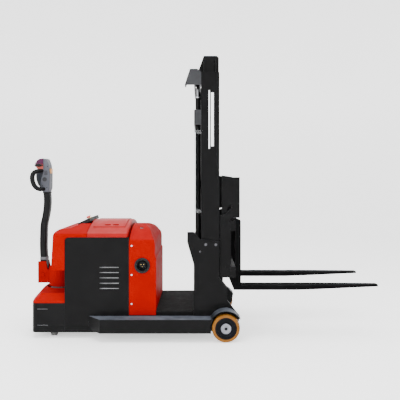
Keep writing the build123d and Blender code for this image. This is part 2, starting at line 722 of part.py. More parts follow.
TIE_REAR, TIE_FRONT = -46, -38
with BuildPart() as mast_mid_tie:
    add(block((TIE_REAR, TIE_FRONT), (-OUTER_WEB_OUT, OUTER_WEB_OUT), (1640, 1755)))
    for side in SIDES.values():
        reach = sorted((side * 303, side * OUTER_WEB_OUT))
        add(block((TIE_FRONT, OUTER_REAR), reach, (1640, 1755)))
        anchor = sorted((side * (CHAIN_Y - 15), side * (CHAIN_Y + 15)))
        add(block((TIE_FRONT, 8), anchor, (ANCHOR_Z - 35, ANCHOR_Z)))

# A tie plate joins the channel tops, and the near side carries a slatted hood over the hoses.
HOOD_SIDE = [
    (-118, 1947), (OUTER_REAR, 1947), (OUTER_REAR, 2044), (-20, 2070), (-78, 2070),
]
HOOD_SKIN = [(-118, 1947), (-78, 2070), (-48, 2070), (-48, 2062), (-72.2, 2062), (-109.6, 1947)]
TOP_LOW, TOP_HIGH = 1947, 2040
PLAIN_RETURN = [(TIE_REAR, TOP_LOW), (OUTER_REAR, TOP_LOW), (OUTER_REAR, TOP_HIGH), (TIE_REAR, TOP_HIGH)]
with BuildPart() as mast_top_tie:
    add(block((TIE_REAR, TIE_FRONT), (-OUTER_WEB_OUT, OUTER_WEB_OUT), (TOP_LOW, TOP_HIGH)))
    add(side_plate(HOOD_SIDE, 303, OUTER_WEB_OUT, -1))
    add(side_plate(PLAIN_RETURN, 303, OUTER_WEB_OUT, 1))
    add(side_plate(HOOD_SKIN, 215, OUTER_WEB_OUT, -1))
    with BuildSketch(Plane.YZ.offset(-130)):
        with Locations((-282, 1968), (-242, 1968)):
            SlotOverall(28, 12)
    extrude(amount=40, mode=Mode.SUBTRACT)
save(group(mast_mid_tie.part, mast_top_tie.part), "mast_ties")

GUSSET = [
    (-48, 172), (-48, 565), (-98, 737), (-98, 815), (-48, 815), (-26, 790), (0, 760),
    (149, 740), (142, 472), (208, 387), (208, 292), (303, 174), (300, 172),
]
# Only the near gusset has the horn that holds the hoses.
PLAIN_GUSSET = [(-48, 172), (-48, 740)] + GUSSET[7:]
with BuildPart() as mast_gussets:
    add(side_plate(GUSSET, OUTER_WEB_OUT, BODY_HALF, -1))
    add(side_plate(PLAIN_GUSSET, OUTER_WEB_OUT, BODY_HALF, 1))
save(mast_gussets.part, "mast_gussets")

with BuildPart() as guard_panel:
    add(block((-46, -42), (-OUTER_WEB_OUT, OUTER_WEB_OUT), (944, 1614)))
    for side in SIDES.values():
        reach = sorted((side * 303, side * OUTER_WEB_OUT))
        for z in (960, 1570):
            add(block((-42, OUTER_REAR), reach, (z, z + 28)))
save(guard_panel.part, "guard_panel")


def lift_cylinder(y):
    """Tube with a closed foot and a gland that the rod runs through."""
    with BuildPart() as tube:
        add(post(CYLINDER_X, y, CYLINDER_R, CYLINDER_BOTTOM, CYLINDER_TOP))
        add(post(CYLINDER_X, y, PISTON_R + 0.4, CYLINDER_BOTTOM + 12, CYLINDER_TOP - 40), mode=Mode.SUBTRACT)
        add(post(CYLINDER_X, y, ROD_R + FIT, CYLINDER_TOP - 50, CYLINDER_TOP), mode=Mode.SUBTRACT)
    return tube.part


with BuildPart() as lift_cylinders:
    for side in SIDES.values():
        add(lift_cylinder(side * CYLINDER_Y))
save(lift_cylinders.part, "lift_cylinders")

BOLT_X = (44, 121)
with BuildPart() as fasteners:
    for side in SIDES.values():
        with BuildSketch(side_plane(BODY_HALF, BODY_HALF + 9, side)):
            with Locations(*[(x, 718) for x in BOLT_X]):
                RegularPolygon(9, 6)
            with Locations((0, 665)):
                RegularPolygon(6, 6)
        extrude(amount=9)
        with BuildSketch(side_plane(BODY_HALF, BODY_HALF + 3, side)):
            with Locations(*[(-524, z) for z in (263, 486, 709)]):
                Circle(7)
        extrude(amount=3)
save(fasteners.part, "fasteners")

# ---------------------------------------------------------------- inner mast


def inner_beam(side):
    """I-beam whose web runs on below the flanges to carry the bottom roller."""
    outline = [
        (INNER_REAR, INNER_IN), (INNER_FRONT, INNER_IN), (INNER_FRONT, INNER_OUT),
        (INNER_REAR, INNER_OUT),
    ]
    hollow_x = (INNER_REAR + INNER_FLANGE, INNER_FRONT - INNER_FLANGE)
    tall = (INNER_BOTTOM, INNER_TOP)
    with BuildPart() as beam:
        with BuildSketch(Plane.XY.offset(INNER_BOTTOM)):
            with BuildLine():
                Polyline(*[(x, side * y) for x, y in outline], close=True)
            make_face()
        extrude(amount=INNER_TOP - INNER_BOTTOM)
        for low, high in ((INNER_IN, INNER_WEB_IN), (INNER_WEB_OUT, INNER_OUT)):
            add(block(hollow_x, sorted((side * low, side * high)), tall), mode=Mode.SUBTRACT)
        web = sorted((side * INNER_WEB_IN, side * INNER_WEB_OUT))
        add(block((48, 110), web, (258, INNER_BOTTOM)))
        add(disc(ROLLER_X, INNER_ROLLER_Z, 14, INNER_WEB_OUT, 291, side))
    return beam.part


save(group(*[inner_beam(side) for side in SIDES.values()]), "inner_beams")

INNER_TIE_HALF = 238
with BuildPart() as inner_ties:
    for low in (420, 1150, 1850):
        add(block((11, INNER_REAR), (-INNER_TIE_HALF, INNER_TIE_HALF), (low, low + 60)))
save(inner_ties.part, "inner_ties")

HEAD_IN = 203
HEAD_PLATE = [(-10, 2050), (149, 2050), (149, 2180), (134, HEAD_TOP), (30, HEAD_TOP), (-10, 2085)]
with BuildPart() as inner_head:
    for plate in both_sides(HEAD_PLATE, HEAD_IN, INNER_IN):
        add(plate)
    add(block((56, 116), (-HEAD_IN, HEAD_IN), (2140, 2190)))
    for side in SIDES.values():
        shelf = sorted((side * 178, side * INNER_TIE_HALF))
        add(block((-38, INNER_REAR), shelf, (ROD_TOP, ROD_TOP + 16)))
        for offset in (-20, 14):
            hanger = sorted((side * (CHAIN_Y + offset), side * (CHAIN_Y + offset + 6)))
            add(block((30, 60), hanger, (2025, 2190)))
        add(disc(PULLEY_X, PULLEY_Z, 10, CHAIN_Y - 20, CHAIN_Y + 20, side))
save(inner_head.part, "inner_head")

GROOVE_DEEP = 6
with BuildPart() as chain_pulleys:
    for side in SIDES.values():
        add(disc(PULLEY_X, PULLEY_Z, PULLEY_R, CHAIN_Y - 12.5, CHAIN_Y + 12.5, side, bore=10 + FIT))
        groove = disc(
            PULLEY_X, PULLEY_Z, PULLEY_R, CHAIN_Y - 10, CHAIN_Y + 10, side, bore=PULLEY_R - GROOVE_DEEP,
        )
        add(groove, mode=Mode.SUBTRACT)
save(chain_pulleys.part, "chain_pulleys")

with BuildPart() as lift_rods:
    for side in SIDES.values():
        add(post(CYLINDER_X, side * CYLINDER_Y, ROD_R, 380, ROD_TOP))
        add(post(CYLINDER_X, side * CYLINDER_Y, PISTON_R, 350, 380))
save(lift_rods.part, "lift_rods")


def roller_pair(z, radius, inner, outer, bore):
    with BuildPart() as rollers:
        for side in SIDES.values():
            add(disc(ROLLER_X, z, radius, inner, outer, side, bore=bore))
        chamfer(rollers.edges().filter_by(GeomType.CIRCLE).group_by(SortBy.RADIUS)[-1], 2)
    return rollers.part


save(roller_pair(OUTER_ROLLER_Z, SMALL_ROLLER_R, 259, 283, 12 + FIT), "outer_rollers")
save(roller_pair(INNER_ROLLER_Z, BIG_ROLLER_R, 262, 290, 14 + FIT), "inner_rollers")
save(roller_pair(CARRIAGE_ROLLER_LOW, SMALL_ROLLER_R, 217, 243, 12 + FIT), "carriage_rollers_low")
save(roller_pair(CARRIAGE_ROLLER_HIGH, SMALL_ROLLER_R, 217, 243, 12 + FIT), "carriage_rollers_high")

with BuildPart() as chains_rear:
    for side in SIDES.values():
        width = sorted((side * (CHAIN_Y - CHAIN_WIDE / 2), side * (CHAIN_Y + CHAIN_WIDE / 2)))
        x = PULLEY_X - PULLEY_R
        add(block((x - CHAIN_THICK / 2, x + CHAIN_THICK / 2), width, (ANCHOR_Z, PULLEY_Z)))
save(chains_rear.part, "chains_rear")

with BuildPart() as chains_front:
    for side in SIDES.values():
        width = sorted((side * (CHAIN_Y - CHAIN_WIDE / 2), side * (CHAIN_Y + CHAIN_WIDE / 2)))
        x = PULLEY_X + PULLEY_R
        add(block((x - CHAIN_THICK / 2, x + CHAIN_THICK / 2), width, (CARRIAGE_ANCHOR_Z, PULLEY_Z)))
save(chains_front.part, "chains_front")

# ---------------------------------------------------------------- carriage
PLATE_IN, PLATE_OUT = 195, 213


def carriage_plate(side):
    """Inner side plate with the two pins of its mast rollers."""
    with BuildPart() as plate:
        add(side_plate([(60, 505), (BAR_REAR, 505), (BAR_REAR, 745), (60, 745)], PLATE_IN, PLATE_OUT, side))
        for z in (CARRIAGE_ROLLER_LOW, CARRIAGE_ROLLER_HIGH):
            add(disc(ROLLER_X, z, 12, PLATE_OUT - 1, 243, side))
    return plate.part


with BuildPart() as chain_bridge:
    add(block((100, 112), (-PLATE_IN, PLATE_IN), (540, 660)))
    for side in SIDES.values():
        width = sorted((side * (CHAIN_Y - 15), side * (CHAIN_Y + 15)))
        add(block((80, 100), width, (610, CARRIAGE_ANCHOR_Z)))

CHEEK_REAR = 155
CARRIAGE_CHEEK = [
    (CHEEK_REAR, CARRIAGE_BOTTOM), (BAR_REAR, CARRIAGE_BOTTOM), (BAR_REAR, 900), (POST_REAR, 922),
    (POST_REAR, 985), (225, 985), (200, 955), (CHEEK_REAR, 940),
]
carriage_pieces = [carriage_plate(side) for side in SIDES.values()]
carriage_pieces += both_sides(CARRIAGE_CHEEK, 292, CARRIAGE_HALF)
save(group(*carriage_pieces, chain_bridge.part), "carriage_frame")

TONGUE_REAR, TONGUE_FRONT, TONGUE_TOP = 259, 270, 904
BAR_Y = (-CARRIAGE_HALF, CARRIAGE_HALF)
with BuildPart() as upper_bar:
    add(block((BAR_REAR, BAR_FRONT), BAR_Y, (820, CARRIAGE_TOP)))
    add(block((TONGUE_REAR, TONGUE_FRONT), BAR_Y, (CARRIAGE_TOP, TONGUE_TOP)))
lower_bar = block((BAR_REAR, BAR_FRONT), BAR_Y, (CARRIAGE_BOTTOM + 1, 545))
back_plate = block((BAR_REAR, BAR_REAR + 12), (-PLATE_OUT, PLATE_OUT), (545, 820))
save(group(upper_bar.part, lower_bar, back_plate), "fork_bars")


def fork(side):
    """L-shaped fork with a top hook, a heel that reaches under the lower bar and a tapered blade."""
    low, high = side * FORK_Y - FORK_HALF, side * FORK_Y + FORK_HALF
    shape = [
        (252, 892), (258.5, 892), (258.5, 904.5), (270.5, 904.5), (270.5, 890.5), (FORK_REAR, 890.5),
        (FORK_REAR, 461), (222, 461), (262, FORK_BOTTOM), (750, FORK_BOTTOM), (FORK_TIP, 388),
        (FORK_TIP, FORK_TOP), (FORK_FRONT, FORK_TOP), (FORK_FRONT, FORK_SHANK_TOP), (FORK_REAR, 917),
        (252, 917),
    ]
    with BuildPart() as tine:
        with BuildSketch(Plane(origin=(0, high, 0), x_dir=(1, 0, 0), z_dir=(0, -1, 0))):
            with BuildLine():
                Polyline(*shape, close=True)
            make_face()
        extrude(amount=2 * FORK_HALF)
        fillet(tine.edges().filter_by(Axis.Z).group_by(Axis.X)[-1], 34)
        with BuildSketch(Plane.XY.offset(FORK_BOTTOM - 5)):
            for y, sign in ((low, 1), (high, -1)):
                with BuildLine():
                    Polyline((900, y), (FORK_TIP + 1, y), (FORK_TIP + 1, y + sign * 18), close=True)
                make_face()
        extrude(amount=50, mode=Mode.SUBTRACT)
        inside = tine.edges().filter_by(Axis.Y).filter_by_position(Axis.X, FORK_FRONT - 1, FORK_FRONT + 1)
        fillet(inside.filter_by_position(Axis.Z, FORK_TOP - 1, FORK_TOP + 1), 14)
    return tine.part


for name, side in SIDES.items():
    save(fork(side), f"fork_{name}")

STAY = [
    (168, 1250), (POST_REAR, 1238), (POST_REAR, 1020), (228, 1020), (213, 1002), (206, 968),
    (168, 950),
]
with BuildPart() as backrest:
    for side in SIDES.values():
        post_y = sorted((side * 262, side * CARRIAGE_HALF))
        add(block((POST_REAR, POST_FRONT), post_y, (922, BACKREST_TOP)))
    add(block((POST_REAR + 8, POST_FRONT - 8), (-262, 262), (BACKREST_TOP - 45, BACKREST_TOP)))
    add(block((POST_REAR + 8, POST_FRONT - 8), (-262, 262), (922, 957)))
    for y in (-88, 88):
        add(block((POST_REAR + 20, POST_FRONT - 20), (y - 12, y + 12), (957, BACKREST_TOP - 45)))
    for plate in both_sides(STAY, 292, CARRIAGE_HALF):
        add(plate)
save(backrest.part, "backrest")

# ---------------------------------------------------------------- tiller
ARM_LINE = [
    (-1302, 556), (-1307, 642), (-1306, 759), (-1300, 852), (-1289, 905), (-1276, 995), (-1280, 1112),
]
with BuildPart() as tiller_arm:
    with BuildSketch(Plane.XZ):
        with BuildLine():
            rear_edge = Spline(*[(x - ARM_HALF_DEEP, z) for x, z in ARM_LINE])
            front_edge = Spline(*[(x + ARM_HALF_DEEP, z) for x, z in ARM_LINE])
            Line(rear_edge @ 0, front_edge @ 0)
            Line(rear_edge @ 1, front_edge @ 1)
        make_face()
    extrude(amount=ARM_HALF_WIDE, both=True)
    sides = tiller_arm.edges().filter_by(GeomType.BSPLINE)
    fillet(sides, 9)
    with BuildSketch(Plane.XZ):
        with BuildLine():
            foot = CenterArc((TILLER_X, TILLER_Z), 27, 180, 180)
            Polyline(foot @ 1, (TILLER_X + 24, 556), (TILLER_X - 28, 556), foot @ 0)
        make_face()
    extrude(amount=ARM_HALF_WIDE - 1, both=True)
    add(disc(TILLER_X, TILLER_Z, PIN_R + FIT, -40, 40, 1), mode=Mode.SUBTRACT)
save(tiller_arm.part, "tiller_arm")

HEAD_OUTLINE = [
    (-1302, 1112), (-1258, 1112), (-1247, 1142), (-1245, 1270), (-1254, 1342), (-1272, 1388),
    (-1300, 1392), (-1300, 1302), (-1328, 1272), (-1334, 1236), (-1322, 1160),
]
with BuildPart() as tiller_head:
    with BuildSketch(Plane.XZ):
        with BuildLine():
            Polyline(*HEAD_OUTLINE, close=True)
        make_face()
    extrude(amount=HEAD_HALF, both=True)
    fillet(tiller_head.faces().filter_by(Axis.Y).edges(), 8)
    add(block((ROCKER_X - 13, -1200), (-31, 31), (ROCKER_Z - 22.5, ROCKER_Z + 22.5)), mode=Mode.SUBTRACT)
save(tiller_head.part, "tiller_head")

with BuildPart() as lift_rocker:
    add(block((ROCKER_X - 9, ROCKER_X + 8), (-29.5, 29.5), (ROCKER_Z - 20, ROCKER_Z + 20)))
    fillet(lift_rocker.edges().filter_by(Axis.Y).group_by(Axis.X)[-1], 4)
save(lift_rocker.part, "lift_rocker")

CAP_OUTLINE = [
    (-1300.5, 1392), (-1330, 1388), (-1358, 1370), (-1358, 1310), (-1336, 1302), (-1300.5, 1302),
]
THROTTLE_SHAFT_R = 6
with BuildPart() as tiller_cap:
    with BuildSketch(Plane.XZ):
        with BuildLine():
            Polyline(*CAP_OUTLINE, close=True)
        make_face()
    extrude(amount=HEAD_HALF - 3, both=True)
    fillet(tiller_cap.edges().filter_by(Axis.Z).group_by(Axis.X)[0], 8)
    with BuildSketch(Plane.YZ.offset(-1362)):
        with Locations((0, 1340)):
            Rectangle(60.8, 40.8)
    extrude(amount=14, mode=Mode.SUBTRACT)
    add(disc(THROTTLE_X, THROTTLE_Z, THROTTLE_SHAFT_R + FIT, -60, 60, 1), mode=Mode.SUBTRACT)
save(tiller_cap.part, "tiller_cap")

with BuildPart() as belly_button:
    add(block((-1372, -1357), (-30, 30), (1320, 1360)))
    fillet(belly_button.edges().group_by(Axis.X)[0], 6)
save(belly_button.part, "belly_button")

with BuildPart() as throttle:
    add(disc(THROTTLE_X, THROTTLE_Z, THROTTLE_SHAFT_R, -60, 60, 1))
    for side in SIDES.values():
        with BuildSketch(side_plane(HEAD_HALF + 2, HEAD_HALF + 34, side)):
            with BuildLine():
                Polyline(
                    (THROTTLE_X - 30, THROTTLE_Z + 4), (THROTTLE_X, THROTTLE_Z + 13),
                    (THROTTLE_X + 30, THROTTLE_Z + 4), (THROTTLE_X + 30, THROTTLE_Z - 4),
                    (THROTTLE_X, THROTTLE_Z - 13), (THROTTLE_X - 30, THROTTLE_Z - 4), close=True,
                )
            make_face()
        extrude(amount=32)
    fillet(throttle.edges().filter_by(Axis.Y), 3)
save(throttle.part, "throttle")

GRIP_R = 15
with BuildPart() as grip_loops:
    for side in SIDES.values():
        with BuildLine() as path:
            FilletPolyline(
                (-1290, side * (HEAD_HALF - 1), 1136), (-1322, side * 98, 1136),
                (-1370, side * 111, 1192), (-1370, side * 111, 1262),
                (-1308, side * (HEAD_HALF - 1), 1288), radius=26,
            )
        with BuildSketch(Plane(origin=path.line @ 0, z_dir=path.line % 0)):
            Circle(GRIP_R)
        sweep(path=path.line)
    add(block((-1500, -1200), (-HEAD_HALF, HEAD_HALF), (1050, 1400)), mode=Mode.SUBTRACT)
save(grip_loops.part, "grip_loops")
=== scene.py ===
"""Walkie stacker: materials, fine detail, floor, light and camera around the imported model."""

import json
import math

import bmesh
import bpy
from mathutils import Matrix, Vector


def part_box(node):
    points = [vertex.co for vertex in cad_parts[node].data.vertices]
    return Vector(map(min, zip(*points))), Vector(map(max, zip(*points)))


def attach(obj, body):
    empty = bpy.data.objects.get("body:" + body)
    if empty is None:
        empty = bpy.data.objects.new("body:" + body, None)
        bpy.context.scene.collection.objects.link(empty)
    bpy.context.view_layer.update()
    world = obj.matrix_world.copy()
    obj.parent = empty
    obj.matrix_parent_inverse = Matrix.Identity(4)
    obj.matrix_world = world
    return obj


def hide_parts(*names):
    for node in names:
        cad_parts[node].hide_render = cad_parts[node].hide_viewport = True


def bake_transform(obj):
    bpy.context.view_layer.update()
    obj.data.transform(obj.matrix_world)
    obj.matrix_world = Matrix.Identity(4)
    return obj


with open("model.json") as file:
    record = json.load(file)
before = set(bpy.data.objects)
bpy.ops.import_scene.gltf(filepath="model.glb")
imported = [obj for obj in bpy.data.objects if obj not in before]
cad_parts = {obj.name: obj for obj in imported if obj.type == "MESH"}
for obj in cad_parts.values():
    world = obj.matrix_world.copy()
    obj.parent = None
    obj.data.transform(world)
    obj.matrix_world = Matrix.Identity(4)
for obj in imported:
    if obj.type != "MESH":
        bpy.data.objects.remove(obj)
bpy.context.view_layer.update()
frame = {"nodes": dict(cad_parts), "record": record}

SIDES = {"near": -1.0, "far": 1.0}

# ---------------------------------------------------------------- camera
camera_data = bpy.data.cameras.new("camera")
camera_data.sensor_width = 36.0
camera_data.lens = 41.1
camera_data.clip_end = 60.0
camera = bpy.data.objects.new("camera", camera_data)
bpy.context.collection.objects.link(camera)
CAMERA_HEIGHT, CAMERA_BACK = 1.229, 3.825
camera.location = (0.0, -CAMERA_BACK, CAMERA_HEIGHT)
camera.rotation_euler = (math.radians(90.0), 0.0, 0.0)
camera_data.shift_y = -0.055
bpy.context.scene.camera = camera

# ---------------------------------------------------------------- materials


def mix_colors(nodes, links, factor, first, second):
    """Mix node between two colours, each a tuple or an output socket."""
    mix = nodes.new("ShaderNodeMix")
    mix.data_type = "RGBA"
    links.new(factor, mix.inputs[0])
    for socket, value in ((mix.inputs[6], first), (mix.inputs[7], second)):
        if isinstance(value, tuple):
            socket.default_value = (*value, 1.0)
        else:
            links.new(value, socket)
    return mix.outputs[2]


def remap(nodes, links, value, low, high, to_low=0.0, to_high=1.0):
    """Map Range node from low..high to to_low..to_high, clamped."""
    node = nodes.new("ShaderNodeMapRange")
    links.new(value, node.inputs["Value"])
    limits = {"From Min": low, "From Max": high, "To Min": to_low, "To Max": to_high}
    for name, number in limits.items():
        node.inputs[name].default_value = number
    return node.outputs["Result"]


def times(nodes, links, first, second):
    """Product of two outputs."""
    node = nodes.new("ShaderNodeMath")
    node.operation = "MULTIPLY"
    links.new(first, node.inputs[0])
    links.new(second, node.inputs[1])
    return node.outputs["Value"]


def noise(nodes, links, vector, scale, detail=3.0, roughness=0.5):
    """Noise texture's value, from 0 to 1."""
    node = nodes.new("ShaderNodeTexNoise")
    node.inputs["Scale"].default_value = scale
    node.inputs["Detail"].default_value = detail
    node.inputs["Roughness"].default_value = roughness
    links.new(vector, node.inputs["Vector"])
    return node.outputs["Fac"]


BEVEL_SAMPLES, WEAR_AND_HIGHLIGHT_WIDTH = 4, 0.003


def surface(
    name, dark, light, rough, metallic=0.0, blotch=5.0, grain=700.0, bump=0.12, depth=0.0003,
    stretch=(1.0, 1.0, 1.0), dust_and_highlight=None, wear_and_edge_highlight=None, soft_edge=0.0012, coat=0.0, specular=0.5,
    transmission=0.0, scuff=None, band=None,
):
    """Painted, moulded or machined finish.

    Colour drifts between dark and light, fine grain sets the relief, tops take a lighter tint that is
    partly dust and partly a painted highlight, edges take wear with a painted edge highlight, and sides
    take scuffs. A band blends to a tint between two places on one axis of the object.
    """
    material = bpy.data.materials.new(name)
    material.use_nodes = True
    nodes, links = material.node_tree.nodes, material.node_tree.links
    shader = nodes["Principled BSDF"]
    shader.inputs["Metallic"].default_value = metallic
    shader.inputs["Coat Weight"].default_value = coat
    shader.inputs["Specular IOR Level"].default_value = specular
    shader.inputs["Transmission Weight"].default_value = transmission

    place = nodes.new("ShaderNodeTexCoord").outputs["Object"]
    mapping = nodes.new("ShaderNodeMapping")
    mapping.inputs["Scale"].default_value = stretch
    links.new(place, mapping.inputs["Vector"])
    spot = mapping.outputs["Vector"]

    drift = noise(nodes, links, spot, blotch, 5.0, 0.6)
    fine = noise(nodes, links, spot, grain, 2.0)
    color = mix_colors(nodes, links, remap(nodes, links, drift, 0.35, 0.65), dark, light)
    geometry = nodes.new("ShaderNodeNewGeometry")

    if band:
        axis, start, end, tint = band
        split = nodes.new("ShaderNodeSeparateXYZ")
        links.new(place, split.inputs[0])
        color = mix_colors(nodes, links, remap(nodes, links, split.outputs[axis], start, end), color, tint)
    # Up-facing faces take a lighter tint in noisy patches: partly dust, partly a painted highlight where
    # light falls on the tops.
    if dust_and_highlight:
        tint, amount = dust_and_highlight
        split = nodes.new("ShaderNodeSeparateXYZ")
        links.new(geometry.outputs["Normal"], split.inputs[0])
        upward = remap(nodes, links, split.outputs["Z"], 0.55, 0.95)
        patches = noise(nodes, links, spot, 9.0, 6.0, 0.65)
        patchy = remap(nodes, links, patches, 0.3, 0.7, 0.35 * amount, amount)
        color = mix_colors(nodes, links, times(nodes, links, upward, patchy), color, tint)
    if scuff:
        tint, amount = scuff
        streaks = nodes.new("ShaderNodeMapping")
        streaks.inputs["Scale"].default_value = (6.0, 6.0, 90.0)
        links.new(place, streaks.inputs["Vector"])
        lines = noise(nodes, links, streaks.outputs["Vector"], 1.0, 4.0, 0.7)
        color = mix_colors(nodes, links, remap(nodes, links, lines, 0.62, 0.8, 0.0, amount), color, tint)
    # Edges take a lighter tint broken by noise: partly wear, partly a painted highlight along the edges.
    if wear_and_edge_highlight:
        tint, amount = wear_and_edge_highlight
        round_edge = nodes.new("ShaderNodeBevel")
        round_edge.samples = BEVEL_SAMPLES
        round_edge.inputs["Radius"].default_value = WEAR_AND_HIGHLIGHT_WIDTH
        facing = nodes.new("ShaderNodeVectorMath")
        facing.operation = "DOT_PRODUCT"
        links.new(round_edge.outputs["Normal"], facing.inputs[0])
        links.new(geometry.outputs["Normal"], facing.inputs[1])
        edge = remap(nodes, links, facing.outputs["Value"], 0.99, 0.8, 0.0, amount)
        broken = remap(nodes, links, noise(nodes, links, spot, 28.0, 5.0, 0.7), 0.42, 0.6)
        color = mix_colors(nodes, links, times(nodes, links, edge, broken), color, tint)
    links.new(color, shader.inputs["Base Color"])

    sheen = noise(nodes, links, spot, 14.0, 6.0, 0.65)
    links.new(remap(nodes, links, sheen, 0.3, 0.7, *rough), shader.inputs["Roughness"])

    relief = nodes.new("ShaderNodeBump")
    relief.inputs["Strength"].default_value = bump
    relief.inputs["Distance"].default_value = depth
    links.new(fine, relief.inputs["Height"])
    if soft_edge:
        edge_normal = nodes.new("ShaderNodeBevel")
        edge_normal.samples = BEVEL_SAMPLES
        edge_normal.inputs["Radius"].default_value = soft_edge
        links.new(edge_normal.outputs["Normal"], relief.inputs["Normal"])
    links.new(relief.outputs["Normal"], shader.inputs["Normal"])
    return material


